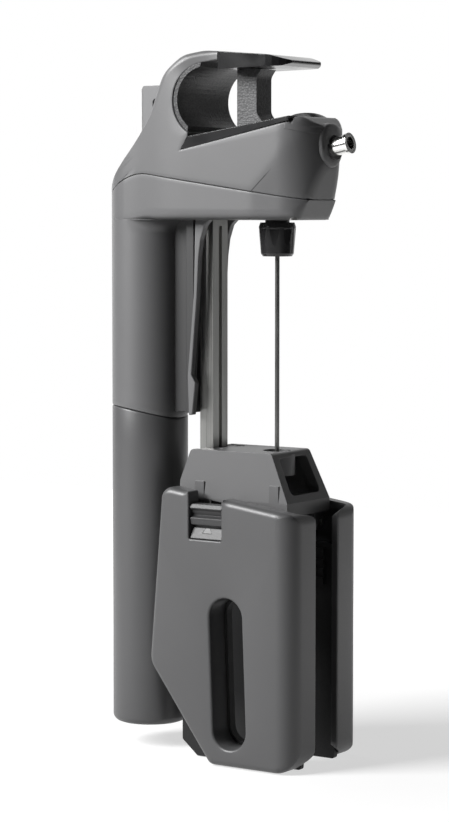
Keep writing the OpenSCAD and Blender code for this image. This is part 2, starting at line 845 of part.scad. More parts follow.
module upper_housing() in_frame()
    color([0.36, 0.36, 0.37])
    difference() {
        arm_upper_solid();
        saddle_region(seam_gap);
        nose_cap_region(seam_gap);
        collar_region(seam_gap);
        difference() {
            arm_cavity();
            housing_screw_places(arm_z + 12) cylinder(h = nose_h, r = 1.8);
        }
        housing_screw_places(arm_z - 1) cylinder(h = 19, r = 0.9);
        translate([2.6 - tube_x, 0, arm_z]) cylinder(h = 14, r = bore_r - 2.6);
        // slot for the trigger and room for its spring
        block([trigger_back - 6, -trigger_w / 2 - slide_gap, trigger_z - 1.4],
              [trigger_face + trigger_room, trigger_w / 2 + slide_gap, trigger_top + 0.6]);
        // seat of the gas valve, and its way down into the arm
        bar_x(pivot_x, valve_back + valve_len, 0, valve_z, valve_r);
        bar_x(pivot_x, -32.6, 0, trigger_spring_z, 2.6);
        translate([valve_back + 6, 0, arm_z + 12]) cylinder(h = valve_z - arm_z - 12, r = gas_tube_r + 0.3);
        bar_y(pivot_x, pivot_z, pivot_r, trigger_w + 6);
        // pocket for the top plate's tongue
        block([plate_joint - 8.2, -7, plate_under + 1], [plate_joint + 5, 7, plate_under + 2.4]);
    }

module lower_housing() in_frame()
    color([0.34, 0.34, 0.35])
    difference() {
        union() {
            intersection() {
                side_view(concat(
                    [
                        [nose_foot_x, nose_seam - seam_gap],
                        [nose_x - 7.6, arm_z]
                    ],
                    [[-tube_x - tube_r, arm_z]],
                    [[-tube_x - tube_r, seam_tail - seam_gap]],
                    [for (p = seam_line()) [p.x, p.y - seam_gap]]
                ), -arm_half - 1, arm_half + 1);
                arm_plan();
            }
            difference() {
                translate([-tube_x, 0, cup_seam_h - 12]) cylinder(h = arm_z - cup_seam_h + 13, r = tube_r);
                cup_seam_cut(seam_gap);
            }
            // web: a channel with a drop foot that clears the shoe, and the narrow spine behind it
            difference() {
                side_view([
                    [-web_front, arm_z + 1],
                    [web_edge(web_foot_z + 14), web_foot_z + 14],
                    [web_edge(web_foot_z + 14) + 2, web_foot_z + 12],
                    [web_edge(web_foot_z + 14) + 0.4, web_foot_z],
                    [web_edge(web_foot_z + 14) - flange_t, web_foot_z],
                    [web_edge(web_foot_z + 14) - flange_t, arm_z + 1]
                ], -web_half, web_half);
                block([-rail_x - rail_head_t - 2.6, -shoe_half - 0.65, web_foot_z - 1],
                      [-10, shoe_half + 0.65, arm_z]);
            }
            difference() {
                side_view([
                    [-tube_x, arm_z + 1],
                    [-rail_x - rail_head_t - 2.6, arm_z + 1],
                    [-rail_x - rail_head_t - 2.6, web_foot_z + 0.5],
                    [-tube_x, web_foot_z + 0.5]
                ], -spine_half, spine_half);
                cup_seam_cut(seam_gap);
            }
        }
        translate([-tube_x, 0, cup_seam_h - 14]) cylinder(h = arm_z - cup_seam_h + 40, r = bore_r);
        arm_cavity();
        // passage for the rail
        block([-rail_x - rail_head_t, -rail_w / 2, web_foot_z - 3], [-rail_x, rail_w / 2, arm_z + 4]);
        block([-rail_x - rail_t, -rail_stem / 2, web_foot_z - 3], [-rail_x + 8, rail_stem / 2, arm_z - eps]);
        block([-rail_x - rail_t, -rail_stem / 2, web_foot_z - 3], [-rail_x, rail_stem / 2, arm_z + 4]);
        // needle nut's stub passes here
        translate([0, 0, arm_z - 1]) cylinder(h = 8, r = nut_stub_r + 0.4);
        housing_screw_places(arm_z - 1) cylinder(h = 20, r = 0.9);
        housing_screw_places(arm_z - 1) cylinder(h = 2, r = 1.7);
        bayonet_grooves();
    }

// Everything under the arc of the seam between tube and cup
module cup_seam_cut(grow) {
    r = cup_seam_r + grow;
    bar_y(-tube_x - tube_r + 2, cup_seam_h - cup_seam_r, r, tube_d + 20);
}

// Helical grooves that the cup's two lugs climb
module bayonet_grooves() {
    for (half = [0, 180], i = [0 : groove_steps])
        translate([-tube_x, 0, lug_z - cup_drop * i / groove_steps])
            rotate([0, 0, half + 90 + cup_turn * i / groove_steps])
                rotate([0, 90, 0])
                    cylinder(h = neck_r + 0.9, r = lug_r + slide_gap, $fn = 24);
}

module housing_screws() in_frame()
    color("silver")
    housing_screw_places(arm_z + 0.3)
        rotate([180, 0, 0]) translate([0, 0, -0.7]) screw(0.9, 1.6, 12, 0.9);

module nose_cap() in_frame()
    color([0.38, 0.38, 0.39])
    difference() {
        intersection() {
            arm_upper_solid();
            nose_cap_region(0);
        }
        block([nose_x - 9, -6, arm_z + nose_h - 6], [nose_x - 4, 6, arm_z + nose_h - 3]);
    }

module spout_collar() in_frame()
    color([0.4, 0.4, 0.41])
    difference() {
        intersection() {
            arm_upper_solid();
            collar_region(0);
        }
        intersection() {
            arm_cavity();
            collar_region(0.5);
        }
        along_spout(-12) cylinder(h = 16, r = spout_d / 2 + 1.3);
    }

module top_plate() in_frame()
    color([0.22, 0.22, 0.23])
    union() {
        intersection() {
            side_view(rounded([
                [plate_joint + 0.2, post_top, 0],
                [plate_x - 4, post_top + 0.4, 3],
                [plate_x, post_top + 1.8, 0.6],
                [plate_x - 8, post_top + plate_t - 0.9, 14],
                [plate_joint + 0.2, plate_under + 3.3, 0]
            ]), -plate_w / 2, plate_w / 2);
            translate([0, 0, post_top - 2])
                linear_extrude(16)
                    polygon(rounded([
                        [-20, -plate_w / 2, 0],
                        [plate_x, -plate_w / 2, 9],
                        [plate_x, plate_w / 2, 9],
                        [-20, plate_w / 2, 0]
                    ]));
        }
        block([plate_joint - 8, -6.8, plate_under + 1.1], [plate_joint + 0.4, 6.8, plate_under + 2.3]);
    }

module grip_lining() in_frame()
    color([0.08, 0.08, 0.08])
    intersection() {
        side_view(concat(
            oval(column_x + 6, plate_under - finger_h / 2, finger_a + liner_t - 0.05, finger_h / 2 - 0.05, 236, 97),
            oval(column_x + 6, plate_under - finger_h / 2, finger_a, finger_h / 2 - liner_t, 100, 233)
        ), -arm_half + 0.6, arm_half - 0.6);
        arm_plan(0.6);
    }

module grip_post() in_frame()
    color([0.08, 0.08, 0.08])
    side_view(rounded([
        [post_back, arm_top(post_back), 0],
        [post_front + 3, arm_top(post_front + 3), 0],
        [post_front, arm_top(post_front + 3) + 4, 3],
        [post_front, post_top - 2.5, 3],
        [post_front + 1.8, post_top, 0],
        [post_back, post_top, 0]
    ]), -4.5, 4.5);

module saddle_trim() in_frame()
    color([0.14, 0.14, 0.15])
    difference() {
        intersection() {
            arm_upper_solid();
            saddle_region(0);
        }
        translate([column_x - 5, 0, 0]) block([-1, -20, arm_z], [4.8, 20, arm_z + arm_back_h - 3.9]);
    }

// ---------------------------------------------------------------- inside the arm

// Die-cast frame: the rail hangs from it, the regulator and manifold bolt to it
module arm_frame() in_frame()
    color("silver")
    difference() {
        union() {
            block([-38, -6.5, rail_top], [manifold_back - 0.2, 6.5, rail_top + 3]);
            block([-20, -6.5, rail_top], [manifold_back - 0.2, 6.5, arm_z + 19]);
            for (side = [-1, 1])
                block([manifold_back - 1, side > 0 ? manifold_half + 0.1 : -manifold_half - 2.4,
                       manifold_z], [4, side > 0 ? manifold_half + 2.4 : -manifold_half - 0.1,
                       arm_z + 19]);
            for (side = [-1, 1])
                block([-12, side > 0 ? 5 : -manifold_half - 2.4, rail_top],
                      [manifold_back - 0.2, side > 0 ? manifold_half + 2.4 : -5, arm_z + 19]);
        }
        translate([-rail_x - rail_t / 2, 0, rail_top - 1]) cylinder(h = 8, r = 0.8);
        translate([valve_back + 6, 0, arm_z]) cylinder(h = 20, r = 2);
        bar_x(-30, 0, 0, arm_z + 15.5, gas_tube_r + 0.1);
    }

module manifold() in_frame()
    color("goldenrod")
    difference() {
        block([manifold_back, -manifold_half, manifold_z], [manifold_front, manifold_half, manifold_top - 4]);
        translate([0, 0, manifold_z - 1]) cylinder(h = nut_stub + 1.6, r = nut_stub_r + run_fit);
        translate([0, 0, manifold_z]) cylinder(h = 12, r = collar_r + 0.3);
        translate([0, 0, manifold_z]) cylinder(h = 18, r = needle_r + 0.1);
        bar_x(manifold_back - 1, 0, 0, arm_z + 15.5, gas_tube_r);
        // cross-drilling from the needle's head to the spout
        along_spout(-24) cylinder(h = 18, r = spout_bore / 2);
        along_spout(-13) cylinder(h = 16, r = spout_d / 2);
    }

module spout_tube() in_frame()
    color("silver")
    difference() {
        union() {
            along_spout(-12.6) cylinder(h = 12.6 + spout_len, r = spout_d / 2);
            along_spout(spout_len - 0.9) cylinder(h = 0.9, r = spout_lip / 2);
        }
        along_spout(-14) cylinder(h = 30, r = spout_bore / 2);
    }

module spout_boot() in_frame()
    color([0.06, 0.06, 0.06])
    difference() {
        union() {
            along_spout(-7) cylinder(h = 7.6, r = spout_d / 2 + 1.2);
            along_spout(-7) cylinder(h = 1.4, r = spout_d / 2 + 2);
        }
        along_spout(-8) cylinder(h = 12, r = spout_d / 2);
        block([nose_x - 20, -9, spout_z - 9], [manifold_front, 9, spout_z + 9]);
    }

// Duckbill in the spout's root that lets wine out and no air in
module wine_check_valve() in_frame()
    color("white")
    difference() {
        along_spout(-11.8) cylinder(h = 3, r = spout_bore / 2);
        along_spout(-12) cylinder(h = 2, r = 1.2);
        along_spout(-11) cylinder(h = 3, r = 0.3);
    }

// Gas line from the valve, down and forward to the manifold
module gas_tube() in_frame()
    color("white")
    difference() {
        union() {
            translate([valve_back + 6, 0, arm_z + 15.5]) cylinder(h = valve_z - valve_r - arm_z - 15.6, r = gas_tube_r);
            bar_x(valve_back + 6, -4, 0, arm_z + 15.5, gas_tube_r);
            translate([valve_back + 6, 0, arm_z + 15.5]) sphere(r = gas_tube_r);
        }
        translate([valve_back + 6, 0, arm_z + 15.5]) cylinder(h = 20, r = 0.7);
        bar_x(valve_back + 6, 0, 0, arm_z + 15.5, 0.7);
    }

// ---------------------------------------------------------------- needle and nut

module needle() in_frame()
    color("silver")
    difference() {
        union() {
            translate([0, 0, needle_tip]) cylinder(h = manifold_z + 16 - needle_tip, r = needle_r);
            translate([0, 0, manifold_z + nut_stub - 0.8]) cylinder(h = collar_h, r = collar_r);
        }
        translate([0, 0, needle_tip + 2]) cylinder(h = 200, r = needle_bore / 2);
        // side port near the closed tip
        bar_x(0, 3, 0, needle_tip + 3, 0.3);
    }

module needle_seals() in_frame()
    color("black")
    for (z = [9, 10.4])
        translate([0, 0, manifold_z + z]) ring(collar_r + 0.2, needle_r, 1);

// Fluted hand nut, its threads stood in for by a plain stub
module needle_nut() in_frame()
    color([0.08, 0.08, 0.08])
    difference() {
        union() {
            translate([0, 0, nut_bottom])
                rotate_extrude()
                    polygon([
                        [0, 0], [nut_d / 2 - 1.3, 0], [nut_d / 2 - 0.7, 0.9],
                        [nut_d / 2, nut_h - 1.4], [nut_d / 2 - 0.5, nut_h], [0, nut_h]
                    ]);
            translate([0, 0, nut_bottom + nut_h - 1])
                cylinder(h = manifold_z + nut_stub - 0.9 - nut_bottom - nut_h + 1, r = nut_stub_r);
        }
        for (a = [0 : 45 : 315])
            rotate([0, 0, a + 22.5])
                translate([nut_d / 2 + 5.6, 0, nut_bottom - 1]) cylinder(h = nut_h - 1, r = 6.1);
        translate([0, 0, nut_bottom - 1]) cylinder(h = 40, r = needle_r + run_fit);
    }

// ---------------------------------------------------------------- trigger and gas valve

module trigger() in_frame()
    color("darkgray")
    difference() {
        side_view(rounded([
            [trigger_back + trigger_t + 0.1, trigger_z - 1, 1],
            [trigger_face, trigger_z - 1, 1.6],
            [trigger_face, pivot_z + 9.6, 1],
            [trigger_back + trigger_t + 4.4, pivot_z + 9.6, 1],
            [trigger_back + trigger_t + 4.4, trigger_top - 4.4, 1],
            [trigger_face, trigger_top - 4.4, 0.6],
            [trigger_face, trigger_top, 0.6],
            [trigger_back + trigger_t + 0.1, trigger_top, 1]
        ]), -trigger_w / 2, trigger_w / 2);
        bar_y(pivot_x, pivot_z, pivot_r + run_fit, trigger_w + 2);
        // seat of the return spring
        bar_x(pivot_x - 3.6, pivot_x + 8, 0, trigger_spring_z, 1.9);
    }

module trigger_pad() in_frame()
    color("whitesmoke")
    side_view(rounded([
        [trigger_back, trigger_z + 0.2, 0.8],
        [trigger_back + trigger_t, trigger_z + 0.2, 0],
        [trigger_back + trigger_t, trigger_top - 1, 0],
        [trigger_back + 1.3, trigger_top - 1, 0.4],
        [trigger_back, trigger_z + 12, 0]
    ]), -trigger_w / 2, trigger_w / 2);

module trigger_pin() in_frame()
    color("silver")
    bar_y(pivot_x, pivot_z, pivot_r, trigger_w + 5);

module trigger_spring() in_frame()
    color("silver")
    translate([pivot_x - 3.4, 0, trigger_spring_z])
        rotate([0, 90, 0])
            coil_spring(1.4, 0.5, 16, 7);

module valve_body() in_frame()
    color("goldenrod")
    difference() {
        bar_x(valve_back + 0.8, valve_back + valve_len, 0, valve_z, valve_r);
        bar_x(valve_back, valve_back + valve_len - 1.4, 0, valve_z, stem_r + run_fit);
        bar_x(valve_back + 3, valve_back + valve_len - 1.4, 0, valve_z, 2.3);
        translate([valve_back + 6, 0, valve_z - valve_r - 1]) cylinder(h = 4, r = 0.8);
    }

module valve_stem() in_frame()
    color("silver")
    union() {
        bar_x(trigger_face + seam_gap, valve_back + 6, 0, valve_z, stem_r);
        bar_x(valve_back + 3.2, valve_back + 4.4, 0, valve_z, 2.1);
    }

module valve_spring() in_frame()
    color("silver")
    translate([valve_back + 4.5, 0, valve_z]) rotate([0, 90, 0]) coil_spring(1.6, 0.4, 3, 4);

// ---------------------------------------------------------------- regulator

module at_tube(z) translate([-tube_x, 0, z]) children();

module regulator_body() in_frame()
    color("lightgray")
    difference() {
        union() {
            at_tube(reg_low) cylinder(h = reg_h, r = reg_r);
            at_tube(reg_nose_low) cylinder(h = reg_low - reg_nose_low + 1, r = reg_nose_r);
        }
        at_tube(piston_z - 1.2) cylinder(h = reg_h, r = piston_r + run_fit);
        at_tube(piston_z + piston_head + piston_travel + 3.2) cylinder(h = reg_h, r = piston_r + 2);
        at_tube(piston_z - 6) cylinder(h = reg_h, r = piston_stem_r + run_fit);
        at_tube(reg_nose_low - 1) cylinder(h = reg_h, r = 0.9);
        at_tube(reg_nose_low - 1) cylinder(h = 7, r = 2);
    }

module regulator_cap() in_frame()
    color("lightgray")
    difference() {
        union() {
            at_tube(reg_cap_z) cylinder(h = reg_low + reg_h - reg_cap_z + 3, r = piston_r + 2);
            at_tube(reg_low + reg_h + 0.02) cylinder(h = 3.4, r = reg_r);
        }
        at_tube(reg_cap_z - 1) cylinder(h = reg_h, r = 1.4);
    }

module regulator_piston() in_frame()
    color("silver")
    union() {
        at_tube(piston_z) cylinder(h = piston_head, r = piston_r);
        at_tube(piston_z - 4) cylinder(h = 4.5, r = piston_stem_r);
    }

module piston_spring() in_frame()
    color("silver")
    at_tube(piston_z + piston_head + 0.1) coil_spring(4.4, 1.1, piston_spring_h - 0.2, 5);

module piercing_pin() in_frame()
    color("silver")
    difference() {
        union() {
            at_tube(reg_nose_low) cylinder(h = 6, r = 2);
            at_tube(capsule_top + 0.25) cylinder(h = 2, r = 1);
        }
        at_tube(capsule_top) cylinder(h = 20, r = 0.45);
    }

module capsule_seal() in_frame()
    color("black")
    at_tube(capsule_top + 0.2) ring(3.6, 1.3, reg_nose_low - capsule_top - 0.2);

// ---------------------------------------------------------------- capsule and cup

module gas_capsule() in_frame()
    color("silver")
    at_tube(capsule_z)
        rotate_extrude()
            polygon(capsule_profile());

// Half section of the capsule: outside from the foot up, then back down inside
function capsule_profile() =
    let (
        r = capsule_d / 2,
        w = capsule_wall,
        shoulder = capsule_len - 14
    )
    concat(
        [[0, 0], [r - 5, 0]],
        [for (a = [-90 : 15 : 0]) [r - 5 + 5 * cos(a), 5 + 5 * sin(a)]],
        [for (a = [0 : 15 : 75]) [r - 5.3 + 5.3 * cos(a), shoulder + 7 * sin(a)]],
        [[capsule_neck_r, capsule_len - 6], [capsule_neck_r, capsule_len], [1.2, capsule_len],
         [1.2, capsule_len - 6]],
        [for (a = [75 : -15 : 0]) [r - 5.3 + (5.3 - w) * cos(a), shoulder + (7 - w) * sin(a)]],
        [for (a = [0 : -15 : -90]) [r - 5 + (5 - w) * cos(a), 5 + (5 - w) * sin(a)]],
        [[0, w]]
    );

module capsule_pad() in_frame()
    color("black")
    at_tube(cup_lift + cup_floor) cylinder(h = pad_t, r = cup_bore_r - 0.5);

module capsule_cup() in_frame()
    color([0.32, 0.32, 0.33])
    difference() {
        union() {
            intersection() {
                at_tube(cup_lift)
                    rotate_extrude()
                        polygon(concat(
                            [[0, 0], [tube_r - 1.2, 0]],
                            [for (a = [-60 : 30 : 0]) [tube_r - 1.2 + 1.2 * cos(a), 1.2 + 1.2 * sin(a)]],
                            [[tube_r, 140], [0, 140]]
                        ));
                cup_seam_cut(-seam_gap);
            }
            at_tube(cup_seam_h - 12) cylinder(h = neck_top - cup_seam_h + 12, r = neck_r);
            // two lugs of the quarter-turn catch
            intersection() {
                for (half = [0, 180])
                    at_tube(lug_z) rotate([0, 0, half + 90]) rotate([0, 90, 0])
                        cylinder(h = neck_r + 0.7, r = lug_r, $fn = 24);
                at_tube(0) cylinder(h = 300, r = neck_r + 0.7);
            }
        }
        at_tube(cup_lift + cup_floor) cylinder(h = 200, r = cup_bore_r);
        // below its neck the cup is only a skin
        at_tube(cup_lift + cup_floor + pad_t) cylinder(h = cup_skin_top - cup_lift - cup_floor - pad_t, r = tube_r - cup_wall);
    }

clamp_cap();
needle_guide();
rail_shoe();
jaw_pins();
jaw_springs();
cap_screws();
near_jaw();
near_jaw_liner();
near_neck_pad();
near_latch();
near_latch_mark();
far_jaw();
far_jaw_liner();
far_neck_pad();
far_latch();
far_latch_mark();
rail();
rail_stop();
rail_screws();
lower_housing();
upper_housing();
nose_cap();
spout_collar();
housing_screws();
top_plate();
grip_lining();
grip_post();
saddle_trim();
arm_frame();
manifold();
spout_boot();
spout_tube();
wine_check_valve();
gas_tube();
needle();
needle_seals();
needle_nut();
trigger();
trigger_pad();
trigger_pin();
trigger_spring();
valve_body();
valve_stem();
valve_spring();
regulator_body();
regulator_cap();
regulator_piston();
piston_spring();
piercing_pin();
capsule_seal();
gas_capsule();
capsule_pad();
capsule_cup();
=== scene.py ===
"""A needle wine dispenser that stands on its bottle clamp, built up as the real one is put together.

Sizes are millimetres in the object's own plan: X counts from the needle, +X is the pouring side,
the XZ plane is the plane of symmetry and z = 0 is the surface that the jaws stand on.
"""
import math

import bmesh
import bpy
import numpy as np
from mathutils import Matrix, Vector


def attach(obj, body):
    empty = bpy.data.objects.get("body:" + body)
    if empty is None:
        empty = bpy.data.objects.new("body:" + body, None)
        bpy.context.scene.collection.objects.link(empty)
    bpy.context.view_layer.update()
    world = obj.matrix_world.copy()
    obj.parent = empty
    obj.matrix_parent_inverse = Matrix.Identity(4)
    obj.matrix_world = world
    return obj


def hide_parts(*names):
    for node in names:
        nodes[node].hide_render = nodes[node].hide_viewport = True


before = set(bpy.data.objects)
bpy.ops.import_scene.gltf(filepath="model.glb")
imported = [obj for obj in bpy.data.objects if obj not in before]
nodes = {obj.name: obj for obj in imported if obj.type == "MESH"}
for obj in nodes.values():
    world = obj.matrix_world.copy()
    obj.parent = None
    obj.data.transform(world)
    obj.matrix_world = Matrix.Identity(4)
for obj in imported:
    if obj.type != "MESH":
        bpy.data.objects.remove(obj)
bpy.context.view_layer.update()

# ---------------------------------------------------------------------------------------------
# The picture: a white sweep under soft boxes, seen from the device's front left corner.
# The camera stands 0.84 m away, level with the arm, and looks down a little.
# ---------------------------------------------------------------------------------------------

camera_data = bpy.data.cameras.new("camera")
camera_data.sensor_width = 36
camera_data.lens = 111.44
camera = bpy.data.objects.new("camera", camera_data)
camera.location = (0.465229, -0.701598, 0.182512)
camera.rotation_mode = "XYZ"
camera.rotation_euler = (math.radians(90 - 4.610), 0, math.radians(33.716))
bpy.context.scene.collection.objects.link(camera)
bpy.context.scene.camera = camera
bpy.context.scene.view_settings.view_transform = "Standard"


def linear(code):
    """An sRGB hex colour as linear red, green, blue and alpha."""
    srgb = np.array([int(code[i:i + 2], 16) for i in (1, 3, 5)]) / 255
    light = np.where(srgb <= 0.04045, srgb / 12.92, ((srgb + 0.055) / 1.055) ** 2.4)
    return (*light.tolist(), 1.0)


def add_node(tree, kind, inputs=None, **settings):
    """Adds a node: settings are its own properties, inputs are values or sockets to link."""
    node = tree.nodes.new(kind)
    for key, value in settings.items():
        setattr(node, key, value)
    for key, value in (inputs or {}).items():
        if isinstance(value, bpy.types.NodeSocket):
            tree.links.new(value, node.inputs[key])
        else:
            node.inputs[key].default_value = value
    return node


def start_material(name):
    """An empty node material."""
    material = bpy.data.materials.new(name)
    material.use_nodes = True
    material.node_tree.nodes.clear()
    return material, material.node_tree


# The sweep is paper that the lens sees as white, with the object's shadow left in it. Its glow
# rises to full from 0.06 to 0.32 m from the middle, so that the shadow stays near the object.
sweep_paper, tree = start_material("sweep_paper")
seen = add_node(tree, "ShaderNodeLightPath")
straight = add_node(tree, "ShaderNodeMath",
                    {0: seen.outputs["Is Camera Ray"], 1: seen.outputs["Is Glossy Ray"]},
                    operation="MAXIMUM")
straight = add_node(tree, "ShaderNodeMath",
                    {0: straight.outputs[0], 1: seen.outputs["Is Transmission Ray"]},
                    operation="MAXIMUM")
place = add_node(tree, "ShaderNodeTexCoord").outputs["Object"]
from_middle = add_node(tree, "ShaderNodeVectorMath", {0: place}, operation="LENGTH")
lift = add_node(tree, "ShaderNodeMapRange",
                {"Value": from_middle.outputs["Value"], "From Min": 0.06, "From Max": 0.32,
                 "To Min": 0.62, "To Max": 1.0}, interpolation_type="SMOOTHSTEP")
paper = add_node(tree, "ShaderNodeBsdfDiffuse", {"Color": linear("#b4b4b4")})
glow = add_node(tree, "ShaderNodeEmission", {"Color": (1, 1, 1, 1), "Strength": lift.outputs[0]})
both = add_node(tree, "ShaderNodeAddShader", {0: paper.outputs[0], 1: glow.outputs[0]})
pale = add_node(tree, "ShaderNodeBsdfDiffuse", {"Color": linear("#707070")})
mixed = add_node(tree, "ShaderNodeMixShader",
                 {"Fac": straight.outputs[0], 1: pale.outputs[0], 2: both.outputs[0]})
add_node(tree, "ShaderNodeOutputMaterial", {"Surface": mixed.outputs[0]})

sweep_half, sweep_z = 0.62, -0.0003
sweep_mesh = bpy.data.meshes.new("sweep")
corners = [(x * sweep_half, y * sweep_half, sweep_z) for x, y in ((-1, -1), (1, -1), (1, 1), (-1, 1))]
sweep_mesh.from_pydata(corners, [], [(0, 1, 2, 3)])
sweep_mesh.materials.append(sweep_paper)
sweep = bpy.data.objects.new("sweep", sweep_mesh)
bpy.context.scene.collection.objects.link(sweep)

# The lens sees the room as white. It gives almost no light, and metal and gloss see white in it only
# behind the object, so that their other sides stay dark.
room = bpy.data.worlds.new("room")
bpy.context.scene.world = room
room.use_nodes = True
tree = room.node_tree
tree.nodes.clear()
seen = add_node(tree, "ShaderNodeLightPath")
straight = add_node(tree, "ShaderNodeMath",
                    {0: seen.outputs["Is Camera Ray"], 1: seen.outputs["Is Transmission Ray"]},
                    operation="MAXIMUM")
toward = add_node(tree, "ShaderNodeTexCoord").outputs["Generated"]
to_backdrop = (-0.555, 0.832, 0)
behind = add_node(tree, "ShaderNodeVectorMath", {0: toward, 1: to_backdrop}, operation="DOT_PRODUCT")
backdrop = add_node(tree, "ShaderNodeMapRange",
                    {"Value": behind.outputs["Value"], "From Min": 0.5, "From Max": 0.85,
                     "To Min": 0.05, "To Max": 1.0}, interpolation_type="SMOOTHSTEP")
dim = add_node(tree, "ShaderNodeBackground", {"Color": (1, 1, 1, 1), "Strength": 0.02})
gloss = add_node(tree, "ShaderNodeBackground", {"Color": (1, 1, 1, 1), "Strength": backdrop.outputs[0]})
white = add_node(tree, "ShaderNodeBackground", {"Color": (1, 1, 1, 1), "Strength": 1.0})
lit = add_node(tree, "ShaderNodeMixShader",
               {"Fac": seen.outputs["Is Glossy Ray"], 1: dim.outputs[0], 2: gloss.outputs[0]})
mixed = add_node(tree, "ShaderNodeMixShader",
                 {"Fac": straight.outputs[0], 1: lit.outputs[0], 2: white.outputs[0]})
add_node(tree, "ShaderNodeOutputWorld", {"Surface": mixed.outputs[0]})


def soft_box(name, place, aim, size, power):
    """A rectangular soft box at place that faces aim, both in metres."""
    lamp_data = bpy.data.lights.new(name, "AREA")
    lamp_data.shape = "RECTANGLE"
    lamp_data.size, lamp_data.size_y = size
    lamp_data.energy = power
    lamp = bpy.data.objects.new(name, lamp_data)
    lamp.location = place
    lamp.rotation_mode = "QUATERNION"
    lamp.rotation_quaternion = (Vector(aim) - Vector(place)).to_track_quat("-Z", "Y")
    bpy.context.scene.collection.objects.link(lamp)


# The key box stands high on the left, and two weak boxes lift the edges away from the camera.
soft_box("key_box", (-0.50, -0.68, 0.64), (0, 0, 0.19), (0.45, 0.5), 16)
soft_box("rim_box", (-1.0, 0.45, 0.5), (0, 0, 0.12), (0.4, 0.9), 0.8)
soft_box("far_box", (0.75, 0.8, 0.3), (0, 0, 0.12), (0.2, 0.8), 0.5)

# ---------------------------------------------------------------------------------------------
# Gas tube and arm underside: one glass-filled nylon moulding, sprayed satin grey.
# It has the web beside the rail in one with it, and it ends at the cup's seam.
# ---------------------------------------------------------------------------------------------

needle_shift = 17.784
tube_x, tube_r = -51.0, 12.8
tube_back = tube_x - tube_r
arm_z = 177.9
seam_gap = 0.15
nose_x = 21.3
chin_x, chin_z = 17.1, 184.5


def rounded(corners, steps=8):
    """A closed outline from (x, y, radius) corners: each is an arc that touches both its sides."""
    corners = np.asarray(corners, float)
    out = []
    for before, here, after in zip(np.roll(corners, 1, 0), corners, np.roll(corners, -1, 0)):
        if here[2] == 0:
            out.append(here[None, :2])
            continue
        u = (before - here)[:2] / np.linalg.norm((before - here)[:2])
        v = (after - here)[:2] / np.linalg.norm((after - here)[:2])
        half = math.acos(np.clip(u @ v, -1, 1)) / 2
        middle = here[:2] + (u + v) / np.linalg.norm(u + v) * here[2] / math.sin(half)
        start = here[:2] + u * here[2] / math.tan(half) - middle
        end = here[:2] + v * here[2] / math.tan(half) - middle
        first = math.atan2(start[1], start[0])
        turn = (math.atan2(end[1], end[0]) - first + 3 * math.pi) % (2 * math.pi) - math.pi
        t = first + turn * np.linspace(0, 1, steps + 1)
        out.append(middle + here[2] * np.stack([np.cos(t), np.sin(t)], 1))
    return np.concatenate(out)


def evenly(path, count):
    """Points at equal steps along a polyline."""
    path = np.asarray(path, float)
    path = path[np.r_[True, np.linalg.norm(np.diff(path, axis=0), axis=1) > 1e-9]]
    run = np.r_[0, np.cumsum(np.linalg.norm(np.diff(path, axis=0), axis=1))]
    s = np.linspace(0, run[-1], count)
    return np.stack([np.interp(s, run, path[:, k]) for k in range(path.shape[1])], 1)


def loft(rings, capped=True):
    """Quads between neighbouring closed rings of points, and when capped a flat face over each end."""
    m, n = rings.shape[:2]
    here = np.arange(m * n).reshape(m, n)
    beside = np.roll(here, -1, 1)
    faces = np.stack([here[:-1], beside[:-1], beside[1:], here[1:]], -1).reshape(-1, 4).tolist()
    if capped:
        faces += [here[0].tolist(), here[-1][::-1].tolist()]
    return rings.reshape(-1, 3), faces


def joined(*shells):
    """Several point and face sets as one."""
    points, faces, first = [], [], 0
    for some_points, some_faces in shells:
        points.append(some_points)
        faces += [[first + i for i in face] for face in some_faces]
        first += len(some_points)
    return np.concatenate(points), faces


def mirrored(shell):
    """The same shell on the other side of the plane of symmetry."""
    return shell[0] * [1, -1, 1], [face[::-1] for face in shell[1]]


def make_piece(name, shell, material, body, stands_for, crisp=38):
    """Puts points and faces into a mesh at its place in the frame, closes its seams and rides it.
    Edges that turn by more than crisp degrees stay sharp."""
    points, faces = shell
    mesh = bpy.data.meshes.new(name)
    mesh.from_pydata(((points + [needle_shift, 0, 0]) / 1000).tolist(), [], faces)
    work = bmesh.new()
    work.from_mesh(mesh)
    bmesh.ops.remove_doubles(work, verts=work.verts, dist=2e-6)
    bmesh.ops.dissolve_degenerate(work, dist=1e-7, edges=work.edges)
    bmesh.ops.recalc_face_normals(work, faces=work.faces)
    work.to_mesh(mesh)
    work.free()
    mesh.shade_smooth()
    mesh.set_sharp_from_angle(angle=math.radians(crisp))
    mesh.materials.append(material)
    piece = bpy.data.objects.new(name, mesh)
    bpy.context.scene.collection.objects.link(piece)
    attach(piece, body)
    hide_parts(*stands_for)


